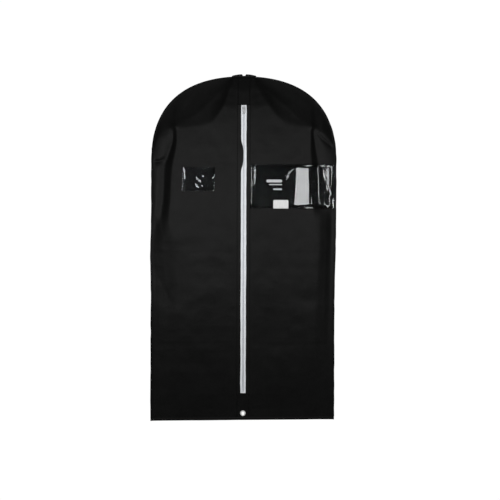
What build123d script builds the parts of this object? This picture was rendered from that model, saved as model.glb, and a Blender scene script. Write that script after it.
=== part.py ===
"""A zipped garment bag, as it hangs: domed top, straight sides, closed flat hem.

Millimetres. +Z is up, +X is to the wearer's left (the window's side), and the zip faces -Y.
The origin is the middle of the hanger hook's opening, in the raised collar at the top.
"""

from build123d import *
import math
import os

os.makedirs("parts", exist_ok=True)

# Overall size
BAG_HEIGHT = 1100.0  # collar to hem
BAG_WIDTH = 588.0
COLLAR_TOP_Z = 6.0  # the collar's crest above the origin

# The dome, a quarter curve on each side with two handles
DOME_TOP_Z = -0.6
DOME_HEIGHT = 266.0
DOME_REACH = 197.0  # the handle along the top
DOME_DROP = 170.0  # the handle up the side
DOME_SECTIONS = 15  # level sections of the dome
DOME_FIRST = 0.07  # the highest section's place on the curve, just beside the apex

# Cloth and seams
CLOTH = 1.2  # stand-in thickness of the non-woven cloth
FILM = 0.8  # stand-in thickness of the clear film
SEAM = 6.0  # seam allowance around the edge, where front and back are joined
EDGE = 0.6  # half of the joined edge's thickness
THINNEST_EDGE = 0.2  # half of the edge's thickness inside the cavity
GAP = 0.1  # between layers that lie on each other
BINDING = 0.9  # thickness of the binding tape
BINDING_WIDTH = 5.4  # how far the side binding reaches in
HEM_BINDING = 8.0  # how far the hem binding reaches up
BINDING_STEPS = 10  # points on the binding's inner curve, on each side of the dome

# Depth of the filled bag, front and back of the seam plane
NECK_DEPTH = 4.0  # front and back, at the collar
ZIP_TOP_DEPTH = 34.0  # front, at the zip's top
ZIP_BOTTOM_DEPTH = 15.0  # front, at the zip's bottom
BACK_SHOULDER_DEPTH = 16.0
BACK_CHEST_DEPTH = 26.0
BACK_SKIRT_DEPTH = 24.0
BACK_BOTTOM_DEPTH = 13.0
HEM_DEPTH = 2.0  # front and back, over the flat hem
NECK_HEIGHT = 62.0  # below the collar the front is straight
FULLNESS = 0.62  # 0.33 gives parabolic sections, more gives fuller sides
CHEST_Z = -300.0
SKIRT_Z = -650.0
FLAT_HEM_HEIGHT = 34.0
TAPER_SHARE = 0.45  # of the zip's depth, halfway down to the flat hem

# The centre band and the zip
BAND = 20.0  # half width, seam to seam
ZIP_TOP_Z = -94.0
ZIP_BOTTOM_Z = -1008.0
PLACKET_INNER = 8.5  # half of the gap that shows the zip
PLACKET_OUTER = 20.9
TAPE_OUTER = 18.0
TAPE = 0.9  # thickness
COIL_INNER = 0.8
COIL_OUTER = 3.0
COIL_HEIGHT = 2.0
COIL_ROUNDING = 0.9
COIL_START = 4.6  # below the zip's top end
BOTTOM_STOP_HEIGHT = 5.0
STOP_HEIGHT = 2.4  # of all stops, above the tapes
STOP_ROUNDING = 0.4

# The slider and its pull
SLIDER_TOP = 5.6  # below the zip's top end
SLIDER_LENGTH = 13.0
SLIDER_MOUTH = 9.6  # width at the top
SLIDER_TAIL = 8.0  # width at the bottom
SLIDER_PLATE = 1.0
SLIDER_ROUNDING = 1.4
MOUTH_SHARE = 0.4  # of the slider's length that keeps the mouth's width
RUNNING = 0.4  # clearance to the coil and tapes
POST = 0.9  # the wedge between the two coils
POST_SPAN = (1.5, 4.0)  # below the slider's top
FLANGE_END = 2.0  # the flanges stop short of the slider's ends
FLANGE_HEIGHT = 2.5
BRIDGE_LEG = 1.2
BRIDGE_SPAN = 5.0  # between its legs
BRIDGE_WIDTH = 2.2
PIVOT_DROP = 11.4  # the pull's pivot below the zip's top end
PIVOT_HEIGHT = 4.6  # above the zip's face
PULL_ROD = 0.7  # radius of the pull's cross bar
PULL_WIDTH = 6.6
PULL_LENGTH = 18.0
PULL_ROUNDING = 3.0
PULL_LOOP = 5.3  # length of the hole round the bridge's leg, from the pivot
PULL_LOOP_ROOM = 0.7  # on each side of the bridge
PULL_SLOT = 4.0
PULL_SLOT_WIDTH = 2.6
PULL_SLOT_DROP = 13.5  # the slot's middle below the pivot

# The window, the card pocket and the blank label
WINDOW_TOP_Z = -281.0
WINDOW_BOTTOM_Z = -421.0
WINDOW_LAP = 8.0  # how far the film lies over the cloth
POCKET_X = (-196.0, -92.0)
POCKET_Z = (-367.0, -291.0)
POCKET_ROOM = 1.2  # room for a card
POCKET_SEAM = 3.0
LABEL_X = (94.0, 142.0)
LABEL_HEIGHT = 27.0
LABEL_THICKNESS = 0.4

# The collar and the hook's opening
COLLAR_HALF = 39.0
COLLAR_FLAP = 12.0  # how far its flaps hang down the faces
COLLAR_CLOTH = 1.3
COLLAR_WEB = 3.0  # thickness of the folded web that the hook passes
COLLAR_DEPTH = 6.5  # half depth of the crest
CREST_BEND = (21.5, 4.7)  # a point on the crest's curved top
CREST_END = 2.0  # the crest stops short of the collar's ends
HOOK_RADIUS = 4.0
NOTCH_HALF = 4.8
NOTCH_TOP_HALF = 6.2
NECK_GAP_Z = -9.0  # the panels' edge under the collar, where their top seam is left open
COLLAR_BORE = 5.0  # radius of the room under the web

# The eyelet in the hem
EYELET_RISE = 21.0  # above the hem
EYELET_RADIUS = 5.0
EYELET_FLANGE = 8.75
EYELET_WALL = 0.8
EYELET_LIP = 1.2  # thickness of the front flange
EYELET_ROUNDING = 0.5
EYELET_ROLL = 2.1  # how far the barrel's end is rolled out

HALF_WIDTH = BAG_WIDTH / 2
HEM_Z = COLLAR_TOP_Z - BAG_HEIGHT
SPRING_Z = DOME_TOP_Z - DOME_HEIGHT
STRAIGHT_Z = DOME_TOP_Z - NECK_HEIGHT
FLAT_HEM_Z = HEM_Z + FLAT_HEM_HEIGHT
TAPER_Z = (ZIP_BOTTOM_Z + FLAT_HEM_Z) / 2
EYELET_Z = HEM_Z + EYELET_RISE
FAR = 700.0  # past every edge of the bag, for cutting boxes


def dome_edge(t, grow=0.0):
    """(half width, height) on the dome, t from 0 at the apex to 1 at the side, moved out by grow."""
    handles = (
        (0, DOME_TOP_Z),
        (DOME_REACH, DOME_TOP_Z),
        (HALF_WIDTH, SPRING_Z + DOME_DROP),
        (HALF_WIDTH, SPRING_Z),
    )
    weights = ((1 - t) ** 3, 3 * t * (1 - t) ** 2, 3 * t**2 * (1 - t), t**3)
    x = sum(w * p[0] for w, p in zip(weights, handles))
    z = sum(w * p[1] for w, p in zip(weights, handles))
    steps = ((1 - t) ** 2, 2 * t * (1 - t), t**2)
    dx = sum(w * (b[0] - a[0]) for w, a, b in zip(steps, handles, handles[1:]))
    dz = sum(w * (b[1] - a[1]) for w, a, b in zip(steps, handles, handles[1:]))
    length = math.hypot(dx, dz)
    return x - grow * dz / length, z + grow * dx / length


def between(stations, z):
    """The value at height z, straight between (height, value) stations that go down."""
    for (z0, v0), (z1, v1) in zip(stations, stations[1:]):
        if z >= z1:
            return v0 + (v1 - v0) * (z0 - z) / (z0 - z1)
    return stations[-1][1]


def eased_neck(z, depth):
    """The depth above the straight front, which swells from the collar down."""
    share = min(max((DOME_TOP_Z - z) / NECK_HEIGHT, 0), 1)
    return NECK_DEPTH + (depth - NECK_DEPTH) * math.sin(share * math.pi / 2)


def zip_depth(z):
    """The front's depth on the zip's line, which is straight."""
    slope = (ZIP_TOP_DEPTH - ZIP_BOTTOM_DEPTH) / (ZIP_TOP_Z - ZIP_BOTTOM_Z)
    return ZIP_TOP_DEPTH + slope * (z - ZIP_TOP_Z)


def front_depth(z):
    """The front depth in the middle: an eased neck, the zip's straight line, a taper to the hem."""
    if z > STRAIGHT_Z:
        return eased_neck(z, zip_depth(z))
    if z >= ZIP_BOTTOM_Z:
        return zip_depth(z)
    taper = (
        (ZIP_BOTTOM_Z, ZIP_BOTTOM_DEPTH),
        (TAPER_Z, TAPER_SHARE * ZIP_BOTTOM_DEPTH),
        (FLAT_HEM_Z, HEM_DEPTH),
    )
    return between(taper, z)


def back_depth(z):
    """The back's depth in the middle: an eased neck, then straight between shoulder, chest, skirt and hem."""
    if z > STRAIGHT_Z:
        return eased_neck(z, BACK_SHOULDER_DEPTH)
    stations = (
        (STRAIGHT_Z, BACK_SHOULDER_DEPTH),
        (CHEST_Z, BACK_CHEST_DEPTH),
        (SKIRT_Z, BACK_SKIRT_DEPTH),
        (ZIP_BOTTOM_Z, BACK_BOTTOM_DEPTH),
        (FLAT_HEM_Z, HEM_DEPTH),
    )
    return between(stations, z)


def levels(grow):
    """(half width, height) of the bag's level sections, from the collar to the hem."""
    for i in range(DOME_SECTIONS + 1):
        yield dome_edge(DOME_FIRST + (1 - DOME_FIRST) * i / DOME_SECTIONS, grow)
    for z in (CHEST_Z, SKIRT_Z, ZIP_BOTTOM_Z, TAPER_Z, FLAT_HEM_Z):
        yield HALF_WIDTH + grow, z
    yield HALF_WIDTH + grow, HEM_Z - grow


def bag_shape(grow=0.0, thicken=0.0):
    """The filled bag as one solid, its outline moved outwards by grow and its faces by thicken."""
    with BuildPart() as shape:
        for half_width, z in levels(grow):
            edge = max(EDGE + thicken, THINNEST_EDGE)
            with BuildSketch(Plane.XY.offset(z)):
                with BuildLine():
                    for side, depth in ((-1, front_depth(z)), (1, back_depth(z))):
                        handle = (4 * (depth + thicken) - edge) / 3
                        Bezier(
                            (-half_width, side * edge),
                            (-FULLNESS * half_width, side * handle),
                            (FULLNESS * half_width, side * handle),
                            (half_width, side * edge),
                        )
                    for x in (-half_width, half_width):
                        Line((x, -edge), (x, edge))
                make_face()
        loft(ruled=True)
    return shape.part


def keep(x=(-FAR, FAR), y=(-FAR, FAR), z=(-2 * FAR, FAR)):
    """Keeps only what lies inside a box, given by its ranges."""
    low, high = zip(x, y, z)
    with Locations(tuple((a + b) / 2 for a, b in zip(low, high))):
        Box(*[b - a for a, b in zip(low, high)], mode=Mode.INTERSECT)


def neck_gap():
    """The gap left open in the top seam under the collar, as wide as the centre band, for the hook."""
    with Locations((0, 0, NECK_GAP_Z)):
        Box(2 * BAND, FAR, FAR, align=(Align.CENTER, Align.CENTER, Align.MIN), mode=Mode.SUBTRACT)


def eyelet_hole():
    """The hole in the hem that the eyelet's barrel passes."""
    with Locations(Location((0, 0, EYELET_Z), (90, 0, 0))):
        Cylinder(EYELET_RADIUS + EYELET_WALL + GAP, 4 * EYELET_RISE, mode=Mode.SUBTRACT)


# The zip's own plane: x across, y up along the zip, z out of the bag, origin at its top end
ZIP_LENGTH = math.hypot(ZIP_TOP_Z - ZIP_BOTTOM_Z, ZIP_TOP_DEPTH - ZIP_BOTTOM_DEPTH)
zip_plane = Plane(
    origin=(0, -ZIP_TOP_DEPTH, ZIP_TOP_Z),
    x_dir=(1, 0, 0),
    z_dir=(0, ZIP_BOTTOM_Z - ZIP_TOP_Z, ZIP_BOTTOM_DEPTH - ZIP_TOP_DEPTH),
)


def zip_bar(x, y, height, lift=0.0):
    """A bar on the zip's plane, between two x and two y, from lift outwards by height."""
    with BuildSketch(zip_plane.offset(lift)) as profile:
        with Locations(((x[0] + x[1]) / 2, (y[0] + y[1]) / 2)):
            Rectangle(x[1] - x[0], y[1] - y[0])
    extrude(profile.sketch, amount=height)


outer = bag_shape()
cavity = bag_shape(-SEAM, -CLOTH)
shell = outer - cavity  # front and back, joined around the edge

# Back panel: one sheet, with the eyelet's hole
with BuildPart() as back_panel:
    add(shell)
    keep(y=(0, FAR))
    neck_gap()
    eyelet_hole()

# Front panels: one sheet left of the zip, and two right of it, above and below the window
with BuildPart() as front_panel_left:
    add(shell)
    keep(x=(-FAR, -BAND), y=(-FAR, 0))

with BuildPart() as front_panel_right_upper:
    add(shell)
    keep(x=(BAND, FAR), y=(-FAR, 0), z=(WINDOW_TOP_Z - WINDOW_LAP, FAR))

with BuildPart() as front_panel_right_lower:
    add(shell)
    keep(x=(BAND, FAR), y=(-FAR, 0), z=(-2 * FAR, WINDOW_BOTTOM_Z + WINDOW_LAP))

# Centre band: plain pieces above and below the zip
with BuildPart() as centre_band_top:
    add(shell)
    keep(x=(-BAND, BAND), y=(-FAR, 0), z=(ZIP_TOP_Z, FAR))
    neck_gap()

with BuildPart() as centre_band_bottom:
    add(shell)
    keep(x=(-BAND, BAND), y=(-FAR, 0), z=(-2 * FAR, ZIP_BOTTOM_Z))
    eyelet_hole()

# Plackets: the folded strips that cover the tapes' edges
with BuildPart() as placket_left:
    zip_bar((-PLACKET_OUTER, -PLACKET_INNER), (-ZIP_LENGTH, 0), CLOTH - GAP, lift=GAP)

with BuildPart() as placket_right:
    zip_bar((PLACKET_INNER, PLACKET_OUTER), (-ZIP_LENGTH, 0), CLOTH - GAP, lift=GAP)

# Zip tapes, with the gap between them that the slider's post runs in
with BuildPart() as zip_tape_left:
    zip_bar((-TAPE_OUTER, -COIL_INNER), (GAP - ZIP_LENGTH, -GAP), TAPE, lift=-TAPE)

with BuildPart() as zip_tape_right:
    zip_bar((COIL_INNER, TAPE_OUTER), (GAP - ZIP_LENGTH, -GAP), TAPE, lift=-TAPE)

# Zip coils, each the round-backed bar that its turns fill
across_zip = Plane(origin=zip_plane.origin, x_dir=(1, 0, 0), z_dir=-zip_plane.y_dir)
COIL_END = ZIP_LENGTH - BOTTOM_STOP_HEIGHT - GAP


def coil(side):
    """The coil on one side of the zip's middle line, -1 for left and 1 for right."""
    with BuildSketch(across_zip.offset(COIL_START)) as profile:
        with Locations((side * (COIL_INNER + COIL_OUTER) / 2, 0)):
            Rectangle(COIL_OUTER - COIL_INNER, COIL_HEIGHT, align=(Align.CENTER, Align.MIN))
        fillet(vertices().group_by(Axis.Y)[-1], COIL_ROUNDING)
    extrude(profile.sketch, amount=COIL_END - COIL_START)


with BuildPart() as zip_coil_left:
    coil(-1)

with BuildPart() as zip_coil_right:
    coil(1)

# Stops: a clip on each coil's top end, and one block across both at the bottom
with BuildPart() as zip_top_stops:
    for side in (-1, 1):
        outline_x = sorted((side * COIL_INNER, side * COIL_OUTER))
        zip_bar(outline_x, (GAP - COIL_START, -COIL_START / 2), STOP_HEIGHT)
    fillet(edges().filter_by(Axis.X), STOP_ROUNDING)

with BuildPart() as zip_bottom_stop:
    stop_y = (2 * GAP - ZIP_LENGTH, BOTTOM_STOP_HEIGHT - ZIP_LENGTH)
    zip_bar((-COIL_OUTER, COIL_OUTER), stop_y, STOP_HEIGHT)
    fillet(faces().sort_by(Axis.Y)[0].edges(), STOP_ROUNDING)

# Slider: two plates with side flanges, joined by a post that runs between the coils
PLATE_LIFT = COIL_HEIGHT + RUNNING
SLIDER_BOTTOM = SLIDER_TOP + SLIDER_LENGTH
MOUTH_END = SLIDER_TOP + MOUTH_SHARE * SLIDER_LENGTH
UNDERSIDE = -TAPE - RUNNING - SLIDER_PLATE


def slider_plate(lift):
    """One plate of the slider, wide at its mouth and narrow at its tail, with rounded corners."""
    with BuildSketch(zip_plane.offset(lift)) as profile:
        with BuildLine():
            Polyline(
                (-SLIDER_MOUTH / 2, -SLIDER_TOP),
                (SLIDER_MOUTH / 2, -SLIDER_TOP),
                (SLIDER_MOUTH / 2, -MOUTH_END),
                (SLIDER_TAIL / 2, -SLIDER_BOTTOM),
                (-SLIDER_TAIL / 2, -SLIDER_BOTTOM),
                (-SLIDER_MOUTH / 2, -MOUTH_END),
                close=True,
            )
        make_face()
        fillet(vertices(), SLIDER_ROUNDING)
    extrude(profile.sketch, amount=SLIDER_PLATE)


with BuildPart() as slider_body:
    slider_plate(PLATE_LIFT)
    slider_plate(UNDERSIDE)
    post_y = (-SLIDER_TOP - POST_SPAN[1], -SLIDER_TOP - POST_SPAN[0])
    zip_bar((-POST / 2, POST / 2), post_y, PLATE_LIFT + SLIDER_PLATE - UNDERSIDE, lift=UNDERSIDE)
    flange_y = (FLANGE_END - SLIDER_BOTTOM, -SLIDER_TOP - FLANGE_END)
    for side in (-1, 1):
        flange_x = sorted((side * (COIL_OUTER + RUNNING), side * SLIDER_TAIL / 2))
        zip_bar(flange_x, flange_y, FLANGE_HEIGHT, lift=RUNNING)

# Bridge: the arch on the slider that holds the pull's cross bar
side_plane = Plane(origin=zip_plane.origin, x_dir=zip_plane.z_dir, z_dir=(1, 0, 0))  # y down the zip
BRIDGE_BASE = PLATE_LIFT + SLIDER_PLATE
BRIDGE_ROOM = PIVOT_HEIGHT + PULL_ROD + RUNNING / 2  # underside of the arch
BRIDGE_TOP = BRIDGE_ROOM + BRIDGE_LEG
FROM_BASE = (Align.MIN, Align.CENTER)

with BuildPart() as slider_bridge:
    with BuildSketch(side_plane.offset(-BRIDGE_WIDTH / 2)):
        with Locations((BRIDGE_BASE, PIVOT_DROP)):
            Rectangle(BRIDGE_TOP - BRIDGE_BASE, BRIDGE_SPAN + 2 * BRIDGE_LEG, align=FROM_BASE)
            fillet(vertices().group_by(Axis.X)[-1], BRIDGE_LEG)
            Rectangle(BRIDGE_ROOM - BRIDGE_BASE, BRIDGE_SPAN, align=FROM_BASE, mode=Mode.SUBTRACT)
    extrude(amount=BRIDGE_WIDTH)

# Pull tab: a cross bar in the bridge, a loop round the bridge's leg, and a rounded tab
LOOP_WIDTH = BRIDGE_WIDTH + 2 * PULL_LOOP_ROOM

with BuildPart() as pull_tab:
    with BuildSketch(zip_plane.offset(PIVOT_HEIGHT - PULL_ROD)):
        with Locations((0, -PIVOT_DROP)):
            Rectangle(PULL_WIDTH, PULL_LENGTH, align=(Align.CENTER, Align.MAX))
            fillet(vertices().group_by(Axis.Y)[0], PULL_ROUNDING)
            Rectangle(LOOP_WIDTH, PULL_LOOP, align=(Align.CENTER, Align.MAX), mode=Mode.SUBTRACT)
        with Locations((0, -PIVOT_DROP - PULL_SLOT_DROP)):
            SlotOverall(PULL_SLOT, PULL_SLOT_WIDTH, rotation=90, mode=Mode.SUBTRACT)
    extrude(amount=2 * PULL_ROD)
    with BuildSketch(side_plane.offset(-PULL_WIDTH / 2)):
        with Locations((PIVOT_HEIGHT, PIVOT_DROP)):
            Circle(PULL_ROD)
    extrude(amount=PULL_WIDTH)


def layer(start, thickness, rim=0.0):
    """A sheet that lies start above the bag's faces, and wraps its outline where it has a rim."""
    inside = bag_shape(min(start, rim), start)
    return bag_shape(rim, start + thickness) - inside


film_layer = layer(GAP, FILM)

# Window: one clear film from the placket to the side binding, lying over the cloth's edges
with BuildPart() as window_film:
    add(film_layer)
    keep(
        x=(PLACKET_OUTER + GAP, HALF_WIDTH - BINDING_WIDTH - GAP),
        y=(-FAR, 0),
        z=(WINDOW_BOTTOM_Z, WINDOW_TOP_Z),
    )

# Blank label, sewn on at the window's bottom edge
with BuildPart() as blank_label:
    add(layer(2 * GAP + FILM, LABEL_THICKNESS))
    keep(x=LABEL_X, y=(-FAR, 0), z=(WINDOW_BOTTOM_Z, WINDOW_BOTTOM_Z + LABEL_HEIGHT))

# Card pocket: a clear film that stands off the cloth by a card's room, on strips at three sides
with BuildPart() as card_pocket_film:
    add(layer(POCKET_ROOM, FILM))
    keep(x=POCKET_X, y=(-FAR, 0), z=POCKET_Z)

with BuildPart() as card_pocket_strips:
    add(layer(GAP, POCKET_ROOM - 2 * GAP))
    keep(x=POCKET_X, y=(-FAR, 0), z=POCKET_Z)
    seam_top_z = POCKET_Z[0] + POCKET_SEAM
    with Locations((sum(POCKET_X) / 2, 0, seam_top_z)):
        Box(
            POCKET_X[1] - POCKET_X[0] - 2 * POCKET_SEAM,
            FAR,
            FAR,
            align=(Align.CENTER, Align.CENTER, Align.MIN),
            mode=Mode.SUBTRACT,
        )
    with Locations((0, 0, seam_top_z)):
        Box(FAR, FAR, GAP, mode=Mode.SUBTRACT)

# Binding: one tape on each side from the hem's binding to the collar, and one along the hem
binding_layer = layer(GAP, BINDING, rim=BINDING)


def side_binding(kept_x):
    """The binding on one side, given the range of x that it keeps."""
    add(binding_layer)
    right_edge = [dome_edge(i / BINDING_STEPS, -BINDING_WIDTH) for i in range(BINDING_STEPS + 1)]
    left_edge = [(-x, z) for x, z in reversed(right_edge[1:])]
    low_z = HEM_Z - FAR
    with BuildSketch(Plane.XZ) as inside:
        with BuildLine():
            Spline(*left_edge, *right_edge)
            Polyline(right_edge[-1], (right_edge[-1][0], low_z), (left_edge[0][0], low_z), left_edge[0])
        make_face()
    extrude(inside.sketch, amount=FAR, both=True, mode=Mode.SUBTRACT)
    keep(x=kept_x, z=(HEM_Z + HEM_BINDING + GAP, FAR))


with BuildPart() as edge_binding_left:
    side_binding((-FAR, -COLLAR_HALF - GAP))

with BuildPart() as edge_binding_right:
    side_binding((COLLAR_HALF + GAP, FAR))

with BuildPart() as hem_binding:
    add(binding_layer)
    keep(z=(HEM_Z - FAR, HEM_Z + HEM_BINDING))

# Collar: a folded strip over the top seam, with a crest, a notch and the hook's hole
with BuildPart() as top_collar:
    add(layer(GAP, COLLAR_CLOTH, rim=COLLAR_CLOTH))
    keep(x=(-COLLAR_HALF, COLLAR_HALF), z=(-COLLAR_FLAP, FAR))
    web_bottom, web_top = -COLLAR_WEB / 2, COLLAR_WEB / 2
    crest_end = (COLLAR_HALF - CREST_END, web_bottom)
    notch_corner = (NOTCH_TOP_HALF, COLLAR_TOP_Z)
    with BuildSketch(Plane.XZ):
        with BuildLine():
            Line((0, web_bottom), crest_end)
            ThreePointArc(crest_end, CREST_BEND, notch_corner)
            Polyline(notch_corner, (NOTCH_HALF, web_top), (0, web_top))
            mirror(about=Plane.YZ)
        make_face()
    extrude(amount=COLLAR_DEPTH, both=True)
    Cylinder(HOOK_RADIUS, 4 * COLLAR_FLAP, mode=Mode.SUBTRACT)
    with Locations((0, 0, web_bottom)):
        downwards = (Align.CENTER, Align.CENTER, Align.MAX)
        Cylinder(COLLAR_BORE, COLLAR_FLAP, align=downwards, mode=Mode.SUBTRACT)

# Hem eyelet: a flanged barrel through both faces, rolled over a washer at the back
EYELET_FACE = HEM_DEPTH + GAP
BARREL_END = EYELET_FACE + EYELET_WALL + GAP + EYELET_WALL
eyelet_plane = Plane.XY.offset(EYELET_Z)
eyelet_axis = Axis((0, 0, EYELET_Z), (0, 1, 0))

with BuildPart() as hem_eyelet:
    with BuildSketch(eyelet_plane):
        with Locations((EYELET_RADIUS, -EYELET_FACE)):
            Rectangle(EYELET_WALL, EYELET_FACE + BARREL_END, align=(Align.MIN, Align.MIN))
            Rectangle(EYELET_FLANGE - EYELET_RADIUS, EYELET_LIP, align=(Align.MIN, Align.MAX))
        fillet(vertices().group_by(Axis.Y)[0], EYELET_ROUNDING)
        with Locations((EYELET_RADIUS, BARREL_END)):
            Rectangle(EYELET_ROLL, EYELET_WALL, align=(Align.MIN, Align.MAX))
    revolve(axis=eyelet_axis)

with BuildPart() as hem_eyelet_washer:
    with BuildSketch(eyelet_plane):
        washer_inner = EYELET_RADIUS + EYELET_WALL + GAP
        with Locations((washer_inner, EYELET_FACE)):
            Rectangle(EYELET_FLANGE - washer_inner, EYELET_WALL, align=(Align.MIN, Align.MIN))
    revolve(axis=eyelet_axis)

pieces = {
    "back_panel": back_panel,
    "front_panel_left": front_panel_left,
    "front_panel_right_upper": front_panel_right_upper,
    "front_panel_right_lower": front_panel_right_lower,
    "centre_band_top": centre_band_top,
    "centre_band_bottom": centre_band_bottom,
    "placket_left": placket_left,
    "placket_right": placket_right,
    "zip_tape_left": zip_tape_left,
    "zip_tape_right": zip_tape_right,
    "zip_coil_left": zip_coil_left,
    "zip_coil_right": zip_coil_right,
    "zip_top_stops": zip_top_stops,
    "zip_bottom_stop": zip_bottom_stop,
    "slider_body": slider_body,
    "slider_bridge": slider_bridge,
    "pull_tab": pull_tab,
    "window_film": window_film,
    "blank_label": blank_label,
    "card_pocket_film": card_pocket_film,
    "card_pocket_strips": card_pocket_strips,
    "edge_binding_left": edge_binding_left,
    "edge_binding_right": edge_binding_right,
    "hem_binding": hem_binding,
    "top_collar": top_collar,
    "hem_eyelet": hem_eyelet,
    "hem_eyelet_washer": hem_eyelet_washer,
}
for name, piece in pieces.items():
    piece.part.label = name
    export_step(piece.part, f"parts/{name}.step")
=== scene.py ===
"""The looks of a hanging garment bag, built on its CAD frame.

All lengths in this file are millimetres in the row frame, +Z up and the zip facing -Y, except where Blender
itself wants metres: new_object() does that change for every mesh.
"""

import math

import bpy
import numpy as np
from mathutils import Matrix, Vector


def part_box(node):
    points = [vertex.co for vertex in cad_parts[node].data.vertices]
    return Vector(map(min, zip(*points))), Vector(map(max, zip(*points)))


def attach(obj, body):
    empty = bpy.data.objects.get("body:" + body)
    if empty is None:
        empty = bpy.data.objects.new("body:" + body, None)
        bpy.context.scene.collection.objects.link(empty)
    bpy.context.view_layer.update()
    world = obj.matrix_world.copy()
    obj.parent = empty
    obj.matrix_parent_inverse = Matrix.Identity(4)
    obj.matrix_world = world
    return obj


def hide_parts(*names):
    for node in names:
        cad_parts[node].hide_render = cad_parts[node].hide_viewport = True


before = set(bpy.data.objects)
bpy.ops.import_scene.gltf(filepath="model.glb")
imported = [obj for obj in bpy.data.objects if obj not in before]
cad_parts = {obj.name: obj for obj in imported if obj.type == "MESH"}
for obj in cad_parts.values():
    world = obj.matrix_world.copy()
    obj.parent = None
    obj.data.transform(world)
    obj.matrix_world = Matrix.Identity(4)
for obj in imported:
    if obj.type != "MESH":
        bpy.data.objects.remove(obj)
bpy.context.view_layer.update()
scene = bpy.context.scene

MM = 0.001  # metres in one millimetre
BAG = "bag"


def box(node):
    """Lowest and highest corner of a CAD node, in millimetres."""
    return [np.array(corner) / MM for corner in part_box(node)]


# ------------------------------------------------------------------ the frame's own sizes

back_low, back_high = box("back_panel")
placket_low, placket_high = box("placket_left")
right_placket_low, right_placket_high = box("placket_right")
tape_low, tape_high = box("zip_tape_right")
coil_low, coil_high = box("zip_coil_right")
film_low, film_high = box("window_film")
label_low, label_high = box("blank_label")
pocket_low, pocket_high = box("card_pocket_film")
collar_low, collar_high = box("top_collar")
hem_high = box("hem_binding")[1]
washer_low, washer_high = box("hem_eyelet_washer")
panel_high = box("front_panel_left")[1]
upper_low = box("front_panel_right_upper")[0]
lower_high = box("front_panel_right_lower")[1]

HALF_WIDTH = back_high[0]
HEM_Z = back_low[2]
BAND = -panel_high[0]  # half of the centre band, seam to seam
PLACKET = 1.2  # two folded layers
ZIP_TOP_Z = placket_high[2]
ZIP_BOTTOM_Z = placket_low[2]
ZIP_TOP_DEPTH = -placket_low[1] - PLACKET
ZIP_BOTTOM_DEPTH = -placket_high[1]
BACK_DEPTH = back_high[1]
COLLAR_HALF = collar_high[0]
COLLAR_FLAP_Z = collar_low[2]
EYELET_Z = (washer_low[2] + washer_high[2]) / 2

# The dome's edge: a quarter curve on each side with two handles, the same as in CAD
DOME_TOP_Z = -0.6
DOME_HEIGHT = 266.0
DOME_REACH = 197.0
DOME_DROP = 170.0
SPRING_Z = DOME_TOP_Z - DOME_HEIGHT

EDGE = 0.6  # half of the joined edge
NECK_DEPTH = 4.0
NECK_HEIGHT = 96.0  # the neck slopes evenly from the collar to the zip
FLAT_HEM_Z = HEM_Z + 34.0
HEM_DEPTH = 2.0
FULLNESS = 0.62
CLOTH = 0.7  # thickness of the panels as they are drawn
SHEET_CELL = 2.6
SHOULDER_SOFTNESS = 9.0  # how gradually the hanging cloth turns into the hollow over it
SHOULDER_X = 217.0  # where the hanger's ends push the cloth out
SHOULDER_Z = -161.0


# ------------------------------------------------------------------ outline and depth

curve_t = np.linspace(0, 1, 1501)
dome_weights = (
    (1 - curve_t) ** 3,
    3 * curve_t * (1 - curve_t) ** 2,
    3 * curve_t**2 * (1 - curve_t),
    curve_t**3,
)
dome_x = sum(w * x for w, x in zip(dome_weights, (0, DOME_REACH, HALF_WIDTH, HALF_WIDTH)))
dome_z = sum(w * z for w, z in zip(dome_weights, (DOME_TOP_Z, DOME_TOP_Z, SPRING_Z + DOME_DROP, SPRING_Z)))

lens_t = np.linspace(0.5, 1, 801)
lens_x = (
    -((1 - lens_t) ** 3)
    - 3 * FULLNESS * lens_t * (1 - lens_t) ** 2
    + 3 * FULLNESS * lens_t**2 * (1 - lens_t)
    + lens_t**3
)
lens_share = 4 * lens_t * (1 - lens_t)


def smooth_step(value, low, high):
    share = np.clip((value - low) / (high - low), 0, 1)
    return share * share * (3 - 2 * share)


def edge_height(x):
    """Height of the dome's edge at x."""
    return np.interp(np.abs(x), dome_x, dome_z)


def half_width(z):
    """Half of the bag's width at height z."""
    return np.interp(-z, -dome_z, dome_x)


def lens(share):
    """Depth of a filled section, 1 in the middle and 0 at its edge."""
    return np.interp(np.abs(share), lens_x, lens_share)


LATTICE = 256
lattices = {}


def lattice_noise(x, z, cell, seed):
    """Smooth noise from -1 to 1 with hills about one cell wide."""
    size = LATTICE
    if seed not in lattices:
        lattices[seed] = np.random.default_rng(seed).uniform(-1, 1, (size, size))
    values = lattices[seed]
    u = np.asarray(x) / cell + 64.0
    v = np.asarray(z) / cell + 200.0
    i = np.floor(u).astype(int)
    j = np.floor(v).astype(int)
    fu = u - i
    fv = v - j
    fu = fu * fu * fu * (fu * (6 * fu - 15) + 10)
    fv = fv * fv * fv * (fv * (6 * fv - 15) + 10)
    low = values[i % size, j % size] * (1 - fu) + values[(i + 1) % size, j % size] * fu
    high = values[i % size, (j + 1) % size] * (1 - fu) + values[(i + 1) % size, (j + 1) % size] * fu
    return low * (1 - fv) + high * fv


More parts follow.
